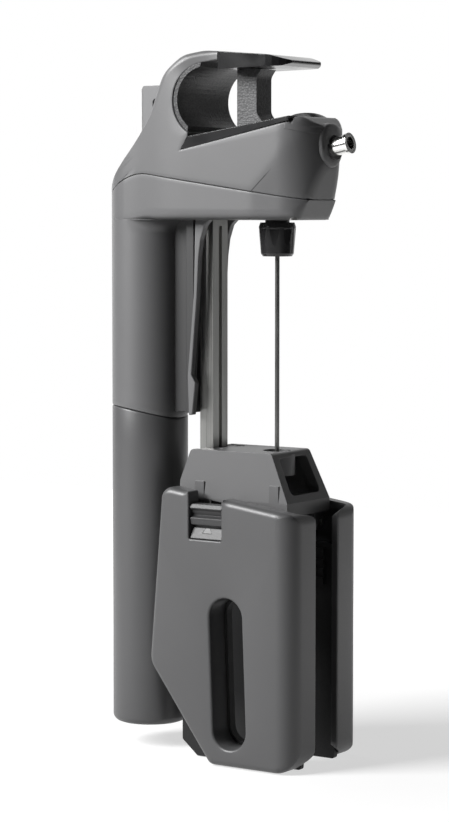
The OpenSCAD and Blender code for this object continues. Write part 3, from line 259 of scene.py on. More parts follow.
def sprayed_coat(name, colour, shade, roughness=0.44, drift_mm=26.0, grain_mm=0.45, shut_line=None):
    """Satin sprayed coat: a slow drift of tone and a fine orange peel, with softened edges.
    The real grain is about 0.1 mm and is drawn at grain_mm so that it shows. A shut line is a thin
    dark joint between two (x, z) points: the distance from it and the run along it are dot products."""
    material, tree = start_material(name)
    place = add_node(tree, "ShaderNodeTexCoord").outputs["Object"]
    drift = add_node(tree, "ShaderNodeTexNoise", {"Vector": place, "Scale": 1000 / drift_mm, "Detail": 3.0})
    grain = add_node(tree, "ShaderNodeTexNoise", {"Vector": place, "Scale": 1000 / grain_mm, "Detail": 2.0})
    tone = add_node(tree, "ShaderNodeMix", {0: drift.outputs["Fac"], 6: linear(shade), 7: linear(colour)},
                    data_type="RGBA")
    rough = add_node(tree, "ShaderNodeMapRange",
                     {"Value": grain.outputs["Fac"], "From Min": 0.3, "From Max": 0.7,
                      "To Min": roughness - 0.04, "To Max": roughness + 0.05})
    soft_edge = add_node(tree, "ShaderNodeBevel", {"Radius": 0.0003}, samples=4)
    peel = add_node(tree, "ShaderNodeBump",
                    {"Height": grain.outputs["Fac"], "Strength": 0.25, "Distance": 0.00003,
                     "Normal": soft_edge.outputs["Normal"]})
    colour_out = tone.outputs[2]
    if shut_line:
        (x0, z0), (x1, z1) = shut_line
        run = math.hypot(x1 - x0, z1 - z0)
        along = ((x1 - x0) / run, 0, (z1 - z0) / run)
        offset = add_node(tree, "ShaderNodeVectorMath",
                          {0: place, 1: ((x0 + needle_shift) / 1000, 0, z0 / 1000)}, operation="SUBTRACT")
        aside = add_node(tree, "ShaderNodeVectorMath",
                         {0: offset.outputs[0], 1: (-along[2], 0, along[0])}, operation="DOT_PRODUCT")
        gap = add_node(tree, "ShaderNodeMath", {0: aside.outputs["Value"]}, operation="ABSOLUTE")
        thin = add_node(tree, "ShaderNodeMapRange",
                        {"Value": gap.outputs[0], "From Min": 0.00006, "From Max": 0.00026,
                         "To Min": 1.0, "To Max": 0.0})
        way = add_node(tree, "ShaderNodeVectorMath", {0: offset.outputs[0], 1: along},
                       operation="DOT_PRODUCT")
        ends = add_node(tree, "ShaderNodeMapRange",
                        {"Value": way.outputs["Value"], "From Min": run / 1600, "From Max": run / 1000,
                         "To Min": 1.0, "To Max": 0.0})
        line = add_node(tree, "ShaderNodeMath", {0: thin.outputs[0], 1: ends.outputs[0]},
                        operation="MULTIPLY")
        colour_out = add_node(tree, "ShaderNodeMix",
                              {0: line.outputs[0], 6: colour_out, 7: linear("#0c0c0c")},
                              data_type="RGBA").outputs[2]
    coat = add_node(tree, "ShaderNodeBsdfPrincipled",
                    {"Base Color": colour_out, "Roughness": rough.outputs[0], "Normal": peel.outputs[0],
                     "IOR": 1.5, "Specular IOR Level": 0.75})
    add_node(tree, "ShaderNodeOutputMaterial", {"Surface": coat.outputs[0]})
    return material


housing_tones = ("#6c6c6d", "#666667")
housing_coat = sprayed_coat("sprayed_nylon_grey", *housing_tones)

# The seam between the arm's halves in side view, whose first points climb the shoulder, and half
# of the arm's outline in plan.
seam = np.array([(tube_back, 183.4), (-61.2, 186.8), (-54.5, 190.5), (-50, 192.6), (-45, 193.4),
                 (-41, 192.9), (-1, 187.2), (11, 185.4), (chin_x, chin_z)])
seam = evenly(seam, 60)
shoulder_points = 14
for _ in range(3):
    seam[1:-1] = (seam[:-2] + 2 * seam[1:-1] + seam[2:]) / 4
plan = rounded([(nose_x, -14.6, 13.2), (-33, -15.8, 60), (-49, -tube_r, 40), (tube_back, -tube_r, 12.799),
                (tube_back, 0, 0), (nose_x, 0, 0)], 24)
plan = plan[plan[:, 1] < -0.001]
plan = plan[np.argsort(plan[:, 0])]

# The crease starts on the seam at crease_x and slants forward: crease_lean is X over Z, and
# crease_cos turns a distance along X into the distance from the slanted line.
crease_x, crease_z, crease_lean, crease_cos = -0.6, 187.3, 0.93, 0.73
crease_depth, crease_soft = 0.1, 0.5


def arm_half(x, z):
    """Half the arm's width: the plan's outline, drawn in past the slanting crease before the nose
    along a soft ramp, the logarithm of one plus the exponential of the distance past it."""
    above = np.maximum(z, np.interp(x, seam[:, 0], seam[:, 1])) - crease_z
    past = (x - crease_x - above * crease_lean) * crease_cos
    drawn_in = crease_depth * np.log1p(np.exp(np.clip(past / crease_soft, -30, 30)))
    return np.interp(x, plan[:, 0], -plan[:, 1]) - drawn_in


def wrapped(inner, outer, r_in, r_out, half_width, round_steps=5, side_steps=10):
    """Rings round chords that run from an inner to an outer side-view curve. Each chord is carried to
    the half width on either side, and turned over both edges on an arc of radius r_in or r_out. Each
    arc keeps to 0.48 of its chord, so the two never meet, and no ring is thinner than 0.35 of the half."""
    chord = outer - inner
    length = np.maximum(np.linalg.norm(chord, axis=1), 1e-6)
    along = chord / length[:, None]
    arc = np.linspace(0, math.pi / 2, round_steps + 1)
    m = len(inner)
    r_in = np.broadcast_to(np.asarray(r_in, float), m)
    r_out = np.broadcast_to(np.asarray(r_out, float), m)
    room = length * 0.48
    r_in, r_out = np.minimum(r_in, room), np.minimum(r_out, room)
    start = np.stack([r_in * (1 - math.cos(t)) for t in arc], 1)
    end = np.stack([length - r_out * (1 - math.cos(t)) for t in arc[::-1]], 1)
    middle = start[:, -1:] + (end[:, :1] - start[:, -1:]) * np.linspace(0, 1, side_steps + 1)[None, 1:-1]
    depth = np.concatenate([np.zeros((m, 3)), start, middle, end, np.repeat(length[:, None], 3, 1)], 1)
    drop_in = np.stack([r_in * (1 - math.sin(t)) for t in arc], 1)
    drop_out = np.stack([r_out * (1 - math.sin(t)) for t in arc[::-1]], 1)
    none = np.zeros((m, side_steps - 1))
    drop = np.concatenate([np.zeros((m, 3)), drop_in, none, drop_out, np.zeros((m, 3))], 1)
    x = inner[:, :1] + along[:, :1] * depth
    z = inner[:, 1:] + along[:, 1:] * depth
    half = half_width(x, z)
    y = np.maximum(half - drop, 0.35 * half)
    top, bottom = y[:, 3], y[:, -4]
    share = np.array([0, 0.5, 0.95])
    y[:, :3] = top[:, None] * share
    y[:, -3:] = bottom[:, None] * share[::-1]
    near = np.stack([x, -y, z], -1)
    far = (near * [1, -1, 1])[:, ::-1]
    return np.concatenate([near, far[:, 1:-1]], 1)


def smooth_ramp(x, low, high):
    """0 below low, 1 above high, with an S between."""
    t = np.clip((x - low) / (high - low), 0, 1)
    return t * t * (3 - 2 * t)


# Arm underside: chords from the seam straight down to the lower edge, which is rounded over.
lower_edge = evenly(np.concatenate([evenly([(chin_x, chin_z - seam_gap), (14.1, 178.3)], 8),
                                    [(13.4, arm_z)], evenly([(12.6, arm_z), (tube_back, arm_z)], 90)]), 110)
chin_points = 14
upper_edge = lower_edge.copy()
upper_edge[:chin_points, 0] = np.linspace(chin_x, upper_edge[chin_points, 0], chin_points, endpoint=False)
upper_edge[:, 1] = np.interp(upper_edge[:, 0], seam[:, 0], seam[:, 1]) - seam_gap
edge_r = 0.5 + 2.6 * smooth_ramp(lower_edge[:, 0], -52, -40)
edge_r = np.maximum(edge_r, 3.2 * smooth_ramp(lower_edge[:, 1], 178.5, 180))
under_arm = loft(wrapped(upper_edge, lower_edge, 0.35, edge_r, arm_half))

turn = np.linspace(0, 2 * math.pi, 97)[:-1]
cup_seam_r, cup_seam_x, cup_seam_z = 69.0, -61.8, 46.5


def seam_height(x):
    """Height of the seam between tube and cup: an arc in side view."""
    return cup_seam_z + np.sqrt(cup_seam_r ** 2 - (x - cup_seam_x) ** 2)


def around(radius, height):
    """A ring about the tube's axis, each height either one number or one for each angle."""
    x = tube_x + radius * np.cos(turn)
    return np.stack([x, radius * np.sin(turn), np.broadcast_to(height, turn.shape)], -1)


def tube_rings(levels):
    """Rings of a round skin: each level is a radius with a height, or a lift over the cup's seam."""
    return np.stack([around(r, seam_height(tube_x + r * np.cos(turn)) + h if over else h)
                     for r, h, over in levels])


# The tube's skin ends in a spigot at the cup's seam, and flares up to the arm on the front only.
spigot_r, fillet_r = 10.9, 4.2
flare = fillet_r * np.clip(1.5 * np.cos(turn), 0, 1)
climb = np.linspace(0, math.pi / 2, 7)
tube_levels = [(spigot_r, -0.45, True), (spigot_r, seam_gap, True), (tube_r - 0.3, seam_gap, True),
               (tube_r - 0.08, 0.25, True), (tube_r, 0.45, True), (tube_r, 2, True), (tube_r, 20, True),
               (tube_r, 150, False), (tube_r, 173.6, False)]
tube_skin = tube_rings(tube_levels)
fillet = np.stack([around(tube_r + flare * (1 - math.cos(t)), arm_z - fillet_r * (1 - math.sin(t)))
                   for t in climb])
tube_shell = loft(np.concatenate([tube_skin, fillet, around(tube_r - 1, arm_z + 0.5)[None]]))

# The web beside the rail: two cheeks with a drop foot, filleted up to the arm. Each corner of their
# side view is (x, z, radius).
cheek_side = rounded([(-26.4, 178.3, 0), (-20.3, 178.3, 0), (-22.6, 176.2, 2), (-24.2, 171.5, 4),
                      (-25.0, 166, 10), (-25.7, 153, 30), (-28.0, 126.8, 0.7), (-26.4, 124.2, 0.7),
                      (-27.6, 113.5, 0.4), (-29.1, 113.3, 0.4), (-29.5, 126.5, 4), (-27.1, 153, 30)], 4)


def area(loop):
    """Signed area of an outline, positive when it runs anticlockwise."""
    after = np.roll(loop, -1, 0)
    return 0.5 * np.sum(loop[:, 0] * after[:, 1] - after[:, 0] * loop[:, 1])


def inset(loop, depth):
    """A closed outline drawn in by depth, each point along the mitre of its two sides."""
    before = loop - np.roll(loop, 1, 0)
    after = np.roll(loop, -1, 0) - loop
    n1 = np.stack([-before[:, 1], before[:, 0]], 1) / np.linalg.norm(before, axis=1)[:, None]
    n2 = np.stack([-after[:, 1], after[:, 0]], 1) / np.linalg.norm(after, axis=1)[:, None]
    mitre = n1 + n2
    mitre /= np.maximum(np.sum(mitre * n1, 1), 0.6)[:, None]
    return loop + mitre * np.broadcast_to(depth, len(loop))[:, None]


def clean(loop):
    """An anticlockwise outline with no two points in one place."""
    loop = np.asarray(loop, float)
    loop = loop[np.linalg.norm(loop - np.roll(loop, 1, 0), axis=1) > 1e-6]
    return loop if area(loop) > 0 else loop[::-1]


def slab(outline, low, high, r_low, r_high):
    """A side-view outline given depth from low to high along Y, its rims turned over on arcs."""
    outline = clean(outline)
    arc = np.linspace(0, math.pi / 2, 5)
    rows = [(r_low + 0.1, low)]
    rows += [(r_low * (1 - math.sin(t)), low + r_low * (1 - math.cos(t))) for t in arc]
    rows += [(0, low + r_low + 0.1), (0, high - r_high - 0.1)]
    rows += [(r_high * (1 - math.sin(t)), high - r_high * (1 - math.cos(t))) for t in arc[::-1]]
    rows += [(r_high + 0.1, high)]
    rings = []
    for depth, y in rows:
        edge = inset(outline, depth)
        rings.append(np.stack([edge[:, 0], np.full(len(edge), y), edge[:, 1]], 1))
    return loft(np.stack(rings))


web_half, cheek_inner, plate_half, spine_half, web_top = 9, 6.7, 7.0, 3.2, 178.2
cheek = slab(cheek_side, -web_half, -cheek_inner, 0.35, 0.2)
make_piece("gas_tube_housing", joined(tube_shell, under_arm, cheek, mirrored(cheek)), housing_coat, "body",
           ["lower_housing"])

# Behind the rail the web is a back plate on a narrow spine, duller than the arm and coloured near
# black: painted shade for the deep, shaded recess between the gas tube and the rail.
back_plate = slab([(-28.4, web_top), (-28.4, 150), (-30.2, 126), (-30.0, 113.9), (-31.3, 113.9),
                   (-31.3, web_top)], -plate_half, plate_half, 0.1, 0.1)
spine = slab([(-44, web_top), (-28.5, web_top), (-28.5, 150), (-30.6, 113.8), (-44, 113.8)],
             -spine_half, spine_half, 0.2, 0.2)
web_painted_shade_coat = sprayed_coat("web_nylon_painted_shade", "#1a1a1b", "#171718", 0.5)
make_piece("rail_web", joined(back_plate, spine), web_painted_shade_coat, "body", ["lower_housing"])

# ---------------------------------------------------------------------------------------------
# Arm top and handle column: the second sprayed nylon moulding, closed on the first at the seam.
# It sweeps from the nose back over the shoulder and curls forward over the finger opening.
# ---------------------------------------------------------------------------------------------

ring_x, ring_z, ring_a, ring_b = -18.5, 216.9, 12.3, 12.2
nose_lip = (nose_x, 200.5)
wedge_front, wedge_back = (13.2, 209.4), (-27.5, 200.8)
opening_foot = (-24.9, 205.0)
hook_low, hook_high = (-15.2, 229.6), (-15.2, 232.5)
nose_joint = ((-0.9, 186.9), (7.2, 194.6))


def opening_arc(start, stop, count):
    """Points on the finger opening's ellipse, between two angles in degrees."""
    t = np.radians(np.linspace(start, stop, count))
    return np.stack([ring_x + ring_a * np.cos(t), ring_z + ring_b * np.sin(t)], 1)


# Side views of the arm's top: its upper edge from the nose back round the finger opening to the
# hook, and its lower edge from the nose along the seam, then up the back to the hook.
front_top = rounded([(*nose_lip, 0), (20.9, 207.6, 2.5), (15.4, 211.3, 3.2), (13.0, 210.4, 0)], 8)[:-1]
inner = np.concatenate([
    evenly(front_top, 34),
    evenly([wedge_front, wedge_back], 50),
    evenly([wedge_back, opening_foot], 6)[1:],
    opening_arc(240, 96, 60),
    evenly([(-19.5, 229.05), hook_low], 5)[1:],
])
back_edge = rounded([(tube_back, 183.6, 0), (-61.6, 189.6, 12), (-52.6, 199.2, 40), (-45.0, 208.0, 30),
                     (-36.4, 225.6, 14), (-29.0, 231.6, 9), (-21, 232.9, 14), (*hook_high, 0)], 10)
outer = np.concatenate([
    evenly(rounded([(*nose_lip, 0), (20.6, 194.5, 9), (chin_x, chin_z, 0)], 8), 34),
    evenly(seam[::-1][1:-shoulder_points], 53)[:-1],
    evenly(seam[shoulder_points - 1::-1], shoulder_points),
    evenly(back_edge, 55)[1:],
])


def split_run(path, stations, counts):
    """Resamples a curve between stations given as its nearest points, so that the chords between
    two curves with like stations fan round the shoulder."""
    keys = [int(np.argmin(np.linalg.norm(path - s, axis=1))) for s in stations]
    parts = [evenly(path[a:b + 1], c)[:-1] for a, b, c in zip(keys[:-1], keys[1:], counts)]
    return np.concatenate(parts + [path[keys[-1]][None]])


in_stations = [nose_lip, wedge_front, wedge_back, opening_foot, (-30.8, 217), (-27, 226), hook_low]
out_stations = [nose_lip, (chin_x, chin_z), (-40, 192.7), (-52, 191.8), (-55, 196.6), (-37.4, 223.8),
                hook_high]
section_counts = [30, 60, 12, 46, 30, 26]
chord_in = split_run(evenly(inner, 4000), in_stations, section_counts)
chord_out = split_run(evenly(outer, 4000), out_stations, section_counts)


def handle_half(x, z):
    """The arm's half width, drawn in at the hook's end to meet the top plate."""
    return arm_half(x, z) - 2.9 * smooth_ramp(x, -34, -15) * smooth_ramp(z, 217, 228)


# The edges are crisp at the seam, round over up the back, tighten again towards the hook, and are
# round at the nose.
out_x, out_z = chord_out.T
is_back = np.arange(len(chord_out)) > np.argmin(out_x)
back_r = (0.5 + 7.0 * smooth_ramp(out_z, 184, 196) - 3.8 * smooth_ramp(out_z, 205, 226)
          - 2.6 * smooth_ramp(out_x, -27, -15))
outer_r = np.where(is_back, back_r, 0.35)
outer_r = np.where(out_x > chin_x - 0.1, 3.2, outer_r)
inner_r = np.where(chord_in[:, 0] > wedge_front[0] + 0.2, 2.2, 0.5)
arm_rings = wrapped(chord_in, chord_out, inner_r, outer_r, handle_half)
joint_coat = sprayed_coat("sprayed_nylon_grey_with_joint", *housing_tones, shut_line=nose_joint)
make_piece("arm_top_and_column", loft(arm_rings), joint_coat, "body", ["upper_housing"])

# ---------------------------------------------------------------------------------------------
# Nose and spout: a crest and a shield-shaped face in the housing's coat, pressed on over the nose.
# The spout is polished stainless tube that leaves through a black rubber boot.
# ---------------------------------------------------------------------------------------------


def finish(material, *names):
    """Gives CAD solids that keep their own shape their material."""
    for name in names:
        nodes[name].data.materials.clear()
        nodes[name].data.materials.append(material)


def moulded_rubber(name, colour, shade, roughness, grain_mm=0.5, depth_mm=0.03):
    """Moulded elastomer: cells of grain from the tool's eroded face, dull, darker in the pits.
    The real grain is about 0.15 mm and is drawn at grain_mm so that it shows."""
    drift_mm = 9
    material, tree = start_material(name)
    place = add_node(tree, "ShaderNodeTexCoord").outputs["Object"]
    cells = add_node(tree, "ShaderNodeTexVoronoi", {"Vector": place, "Scale": 1000 / grain_mm})
    drift = add_node(tree, "ShaderNodeTexNoise", {"Vector": place, "Scale": 1000 / drift_mm, "Detail": 3.0})
    tone = add_node(tree, "ShaderNodeMix",
                    {0: cells.outputs["Distance"], 6: linear(colour), 7: linear(shade)}, data_type="RGBA")
    rough = add_node(tree, "ShaderNodeMapRange",
                     {"Value": drift.outputs["Fac"], "From Min": 0.3, "From Max": 0.7,
                      "To Min": roughness - 0.05, "To Max": roughness + 0.05})
    bump = add_node(tree, "ShaderNodeBump", {"Height": cells.outputs["Distance"], "Strength": 0.6,
                                             "Distance": depth_mm / 1000})
    skin = add_node(tree, "ShaderNodeBsdfPrincipled",
                    {"Base Color": tone.outputs[2], "Roughness": rough.outputs[0], "Normal": bump.outputs[0],
                     "IOR": 1.5, "Specular IOR Level": 0.4})
    add_node(tree, "ShaderNodeOutputMaterial", {"Surface": skin.outputs[0]})
    return material


def drawn_metal(name, colour, roughness, run_mm, width_mm, across, wear="#8f8f8d"):
    """Metal drawn, turned or brushed along one way: fine lines that vary gloss and tone. across
    scales the pattern on each axis, so that the lines run along the axis that is small."""
    material, tree = start_material(name)
    place = add_node(tree, "ShaderNodeTexCoord").outputs["Object"]
    lengthen = add_node(tree, "ShaderNodeMapping", {"Vector": place, "Scale": across})
    lines = add_node(tree, "ShaderNodeTexNoise", {"Vector": lengthen.outputs[0], "Scale": 1000 / width_mm,
                                                  "Detail": 2.0})
    smear = add_node(tree, "ShaderNodeTexNoise", {"Vector": place, "Scale": 1000 / run_mm, "Detail": 3.0})
    tone = add_node(tree, "ShaderNodeMix", {0: lines.outputs["Fac"], 6: linear(wear), 7: linear(colour)},
                    data_type="RGBA")
    mixed = add_node(tree, "ShaderNodeMath", {0: lines.outputs["Fac"], 1: smear.outputs["Fac"]},
                     operation="ADD")
    rough = add_node(tree, "ShaderNodeMapRange",
                     {"Value": mixed.outputs[0], "From Min": 0.7, "From Max": 1.3,
                      "To Min": roughness - 0.06, "To Max": roughness + 0.08})
    bump = add_node(tree, "ShaderNodeBump",
                    {"Height": lines.outputs["Fac"], "Strength": 0.15, "Distance": 0.00002})
    metal = add_node(tree, "ShaderNodeBsdfPrincipled",
                     {"Base Color": tone.outputs[2], "Metallic": 1.0, "Roughness": rough.outputs[0],
                      "Normal": bump.outputs[0]})
    add_node(tree, "ShaderNodeOutputMaterial", {"Surface": metal.outputs[0]})
    return material


# The crest is a low dome over the nose: the plan's outline carried up from the joint line and
# closed in on a quarter ellipse, while its height falls away towards the front. Its first ring is
# a skirt that laps down over the arm.
crest_back, crest_peak, crest_foot = 11.2, 12.6, 208.7
crest_rise, crest_skirt, crest_close = 3.9, 1.6, 0.96
crest_plan = plan[plan[:, 0] > crest_back]
crest_plan = np.concatenate([crest_plan, crest_plan[::-1] * [1, -1]])
crest_rings = []
for t, drop in [(0, crest_skirt)] + [(t, 0) for t in np.linspace(0, math.pi / 2, 9)]:
    shrink = (1 - math.cos(t)) * crest_close
    x = crest_plan[:, 0] + (crest_peak - crest_plan[:, 0]) * shrink
    y = crest_plan[:, 1] * 1.005 * (1 - shrink)
    foot = crest_foot - 0.20 * (crest_plan[:, 0] - crest_back)
    rise = crest_rise - 0.08 * (x - crest_back)
    crest_rings.append(np.stack([x, y, foot - drop + rise * math.sin(t)], 1))
make_piece("nose_crest", loft(np.stack(crest_rings)), housing_coat, "body", ["nose_cap"], 50)

# The collar is a pear-shaped ring on the nose's face, leaning back with it and proud of it: wider
# and taller above the spout's axis than below.
spout_z, collar_low, collar_high = 201.3, 6.6, 7.6
ring_turn = np.linspace(0, 2 * math.pi, 65)[:-1]
collar_y = collar_low * np.cos(ring_turn) * (1 + 0.42 * np.clip(np.sin(ring_turn), 0, 1) ** 1.5)
collar_z = spout_z + np.where(np.sin(ring_turn) > 0, collar_high, collar_low) * np.sin(ring_turn)
nose_corner = plan[-40:][np.argsort(plan[-40:, 1])]


def nose_face(y, z):
    """How far the nose reaches at a width and height: the plan's corner, and the front's lean."""
    reach_x = np.interp(-np.abs(y), nose_corner[:, 1], nose_corner[:, 0])
    return reach_x + np.interp(z, [chin_z, 194.5, nose_lip[1], 206, 209], [-4.2, -0.9, 0, -0.2, -1.2])


# Each ring is a share of the outline and how far it stands out from the face.
collar_profile = ((1.0, -0.8), (1.0, 0.25), (0.97, 0.5), (0.9, 0.65), (0.6, 0.7), (0.5, 0.65), (0.5, -2.0))
collar_rings = []
for share, out in collar_profile:
    y, z = collar_y * share, spout_z + (collar_z - spout_z) * share
    collar_rings.append(np.stack([nose_face(y, z) + out, y, z], 1))
make_piece("spout_collar_ring", loft(np.stack(collar_rings)), housing_coat, "body",
           ["spout_collar"], 50)
polished_tube = drawn_metal("polished_stainless_tube", "#f0f0ee", 0.2, 30, 0.6, (0.02, 1, 1), "#dcdcda")
finish(polished_tube, "spout_tube")
boot_rubber = moulded_rubber("moulded_black_rubber", "#1d1d1e", "#141415", 0.55)
finish(boot_rubber, "spout_boot", "near_jaw_liner", "far_jaw_liner", "near_neck_pad", "far_neck_pad",
       "capsule_pad", "capsule_seal", "needle_seals")

# ---------------------------------------------------------------------------------------------
# Finger opening: a soft dark overmould with a leather-like grain lines the column and wraps the
# post, which stands on the glossy black wedge that trims the arm. A dark moulded plate lies on top.
# ---------------------------------------------------------------------------------------------

grip_rubber = moulded_rubber("grained_grip_rubber", "#565657", "#39393a", 0.42, 0.7, 0.16)
finish(grip_rubber, "grip_lining")
# The post's copy of the same overmould is coloured lighter than the lining's: painted light on the post.
post_rubber_painted_light = moulded_rubber("grained_rubber_post_painted_light", "#6c6c6d", "#4a4a4b", 0.46, 0.7, 0.16)
finish(post_rubber_painted_light, "grip_post")


def glossy_plastic(name, colour, roughness, swirl_mm=14.0):
    """Polished-tool moulding: a hard gloss with faint flow swirls in its roughness."""
    material, tree = start_material(name)
    place = add_node(tree, "ShaderNodeTexCoord").outputs["Object"]
    swirl = add_node(tree, "ShaderNodeTexNoise", {"Vector": place, "Scale": 1000 / swirl_mm, "Detail": 4.0,
                                                  "Distortion": 0.6})
    rough = add_node(tree, "ShaderNodeMapRange",
                     {"Value": swirl.outputs["Fac"], "From Min": 0.3, "From Max": 0.7,
                      "To Min": roughness * 0.8, "To Max": roughness * 1.3})
    soft_edge = add_node(tree, "ShaderNodeBevel", {"Radius": 0.00035}, samples=4)
    skin = add_node(tree, "ShaderNodeBsdfPrincipled",
                    {"Base Color": linear(colour), "Roughness": rough.outputs[0],
                     "Normal": soft_edge.outputs["Normal"], "IOR": 1.5})
    add_node(tree, "ShaderNodeOutputMaterial", {"Surface": skin.outputs[0]})
    return material


black_gloss = glossy_plastic("polished_black_abs", "#2a2a2b", 0.2)
plate_gloss = glossy_plastic("semi_gloss_dark_abs", "#1c1c1d", 0.18)
finish(black_gloss, "saddle_trim")
finish(plate_gloss, "top_plate")

# ---------------------------------------------------------------------------------------------
# Needle and nut: the needle is drawn stainless tube. The hand nut under the arm that holds it is
# moulded glossy black ABS, with flutes for the fingers.
# ---------------------------------------------------------------------------------------------

needle_steel = drawn_metal("drawn_needle_steel", "#8d8d8c", 0.3, 40, 0.25, (1, 1, 0.02), "#6f6f6e")
finish(needle_steel, "needle")
finish(black_gloss, "needle_nut")

# ---------------------------------------------------------------------------------------------
# Trigger: a moulded lever behind the column, sprayed satin grey, that swings on a steel pin.
# A pad is set into it where the finger pulls, coloured near white: a painted highlight for the bright
# reflection along the lever.
# ---------------------------------------------------------------------------------------------

trigger_coat = sprayed_coat("satin_trigger_grey", "#747475", "#6e6e6f", 0.42)
# The pad's near-white colour is a painted highlight.
trigger_pad_painted_highlight = sprayed_coat("satin_pad_painted_highlight", "#e0e0df", "#d8d8d7", 0.4)
finish(trigger_coat, "trigger")
finish(trigger_pad_painted_highlight, "trigger_pad")

# ---------------------------------------------------------------------------------------------
# Rail: bright drawn steel bar with a groove down its face. It is screwed to the cast frame in the
# arm, and a stop lies across its foot.
# ---------------------------------------------------------------------------------------------

rail_steel = drawn_metal("brushed_rail_steel", "#a8a8a6", 0.3, 50, 0.3, (1, 1, 0.008))
finish(rail_steel, "rail", "rail_stop")

# ---------------------------------------------------------------------------------------------
# Cup: a turned and sprayed sleeve that locks up under the gas tube and holds the gas capsule.
# Its top follows the tube's arched seam, and its foot is rounded over.
# ---------------------------------------------------------------------------------------------

cup_coat = sprayed_coat("sprayed_cup_grey", "#565657", "#515152", 0.42)
cup_foot_z, foot_r = 7.5, 2.4
foot_arc = np.linspace(0, math.pi / 2, 7)
cup_levels = [(0.02, cup_foot_z, False), (9.0, cup_foot_z, False)]
cup_levels += [(tube_r - foot_r * (1 - math.sin(t)), cup_foot_z + foot_r * (1 - math.cos(t)), False)
               for t in foot_arc]
cup_levels += [(tube_r, 20, False), (tube_r, 60, False), (tube_r, 90, False), (tube_r, -12, True),
               (tube_r, -0.6, True), (tube_r - 0.1, -0.3, True), (tube_r - 0.3, -seam_gap, True),
               (10.4, -seam_gap, True), (10.3, -14, True), (9.6, -30, True)]
make_piece("cup_sleeve", loft(tube_rings(cup_levels)), cup_coat, "cup", ["capsule_cup"])

# ---------------------------------------------------------------------------------------------
# Clamp cap: a die casting in a satin sprayed coat. It carries both jaws on its pins, and the
# needle passes down through the funnel in it.
# ---------------------------------------------------------------------------------------------

cap_coat = sprayed_coat("sprayed_cap_grey", "#606061", "#5a5a5b", 0.46)
finish(cap_coat, "clamp_cap")

# ---------------------------------------------------------------------------------------------
# Jaws: two cast and sprayed shells with a tall grip window, a notch for the latch in the top edge
# and a soft rim. The front edge rolls round into a short return beside the neck.
# ---------------------------------------------------------------------------------------------

jaw_coat = sprayed_coat("sprayed_jaw_grey", "#565657", "#515152", 0.42)
jaw_half, jaw_inner, jaw_wall = 21.5, 11.5, 2.4
jaw_front, jaw_front_h = 19.4, 84
jaw_back, jaw_back_h = -31.8, 91
notch_front, notch_back, notch_z = -7.8, -20.6, 74


def jaw_top(x):
    """Height of the jaw's slanting top edge."""
    return jaw_front_h + (jaw_front - x) * (jaw_back_h - jaw_front_h) / (jaw_front - jaw_back)


jaw_edge = rounded([(jaw_front, 0, 7), (jaw_front, jaw_front_h, 4), (notch_front, jaw_top(notch_front), 0.7),
                    (notch_front, notch_z, 0.7), (notch_back, notch_z, 0.7),
                    (notch_back, jaw_top(notch_back), 0.7), (jaw_back, jaw_back_h, 4), (-36.8, 32, 7),
                    (-13, 0, 3)], 8)
longest_step = 0.6
sides = [np.linspace(a, b, max(2, int(np.linalg.norm(b - a) / longest_step) + 1))[:-1]
         for a, b in zip(jaw_edge, np.roll(jaw_edge, -1, 0))]
jaw_edge = clean(np.concatenate(sides))
edge_x, edge_z = jaw_edge.T

# The rim is a 2.2 arc, and the front edge rolls round on a 6.4 arc in plan. The wall is shallower
# by the cap, and longer at the front, where it turns in beside the neck.
roll_r, full_rim, notch_rim, cap_room, return_y = 6.4, 2.2, 0.5, 3.9, 6.8
roll_x = jaw_front - roll_r
in_notch = (np.abs(edge_x - (notch_front + notch_back) / 2) < 7.3) & (edge_z > notch_z - 1)
rim_r = np.where(in_notch, notch_rim, full_rim) * (1 - smooth_ramp(edge_x, 15.6, 19.3))
for _ in range(3):
    rim_r = (np.roll(rim_r, 1) + 2 * rim_r + np.roll(rim_r, -1)) / 4
to_front = smooth_ramp(edge_x, 17, 19.3)
wall_end = (-jaw_inner - cap_room * smooth_ramp(edge_z, 75, 77)) * (1 - to_front) - return_y * to_front

# The grip window is an upright slot that leans back by 2.2 degrees.
window_x, window_z, window_r, window_half, window_lip = -5.6, 30.6, 6.3, 24.8, 0.9
lean = math.radians(2.2)


def window_edge(points, grow):
    """The leaning grip window's outline, met along rays from its centre to points, drawn out by grow."""
    half_run = window_half - window_r
    offset = points - [window_x, window_z]
    local = np.stack([offset[:, 0] * math.cos(lean) + offset[:, 1] * math.sin(lean),
                      -offset[:, 0] * math.sin(lean) + offset[:, 1] * math.cos(lean)], 1)
    ray = local / np.linalg.norm(local, axis=1)[:, None]
    side = window_r / np.maximum(np.abs(ray[:, 0]), 1e-9)
    cap = half_run * np.abs(ray[:, 1]) + np.sqrt(np.maximum(window_r ** 2 - (half_run * ray[:, 0]) ** 2, 0))
    hit = ray * np.where(side * np.abs(ray[:, 1]) <= half_run, side, cap)[:, None]
    core = np.stack([np.zeros(len(hit)), np.clip(hit[:, 1], -half_run, half_run)], 1)
    hit = core + (hit - core) * (1 + grow / window_r)
    return np.stack([hit[:, 0] * math.cos(lean) - hit[:, 1] * math.sin(lean) + window_x,
                     hit[:, 0] * math.sin(lean) + hit[:, 1] * math.cos(lean) + window_z], 1)


def level(outline, y):
    """A side-view outline as a ring at depth y."""
    return np.stack([outline[:, 0], np.broadcast_to(y, len(outline)), outline[:, 1]], 1)


def rim_row(t):
    """The jaw's outline at angle t of its rim: drawn in along the 2.2 arc, held behind the front's roll,
    and set back by the depth of that roll at each X."""
    edge = inset(jaw_edge, rim_r * (1 - math.sin(t)))
    edge[:, 0] = np.minimum(edge[:, 0], roll_x + roll_r * math.sin(t))
    past = np.clip(edge[:, 0] - roll_x, 0, roll_r)
    return level(edge, -jaw_half + rim_r * (1 - math.cos(t)) + roll_r - np.sqrt(roll_r ** 2 - past ** 2))


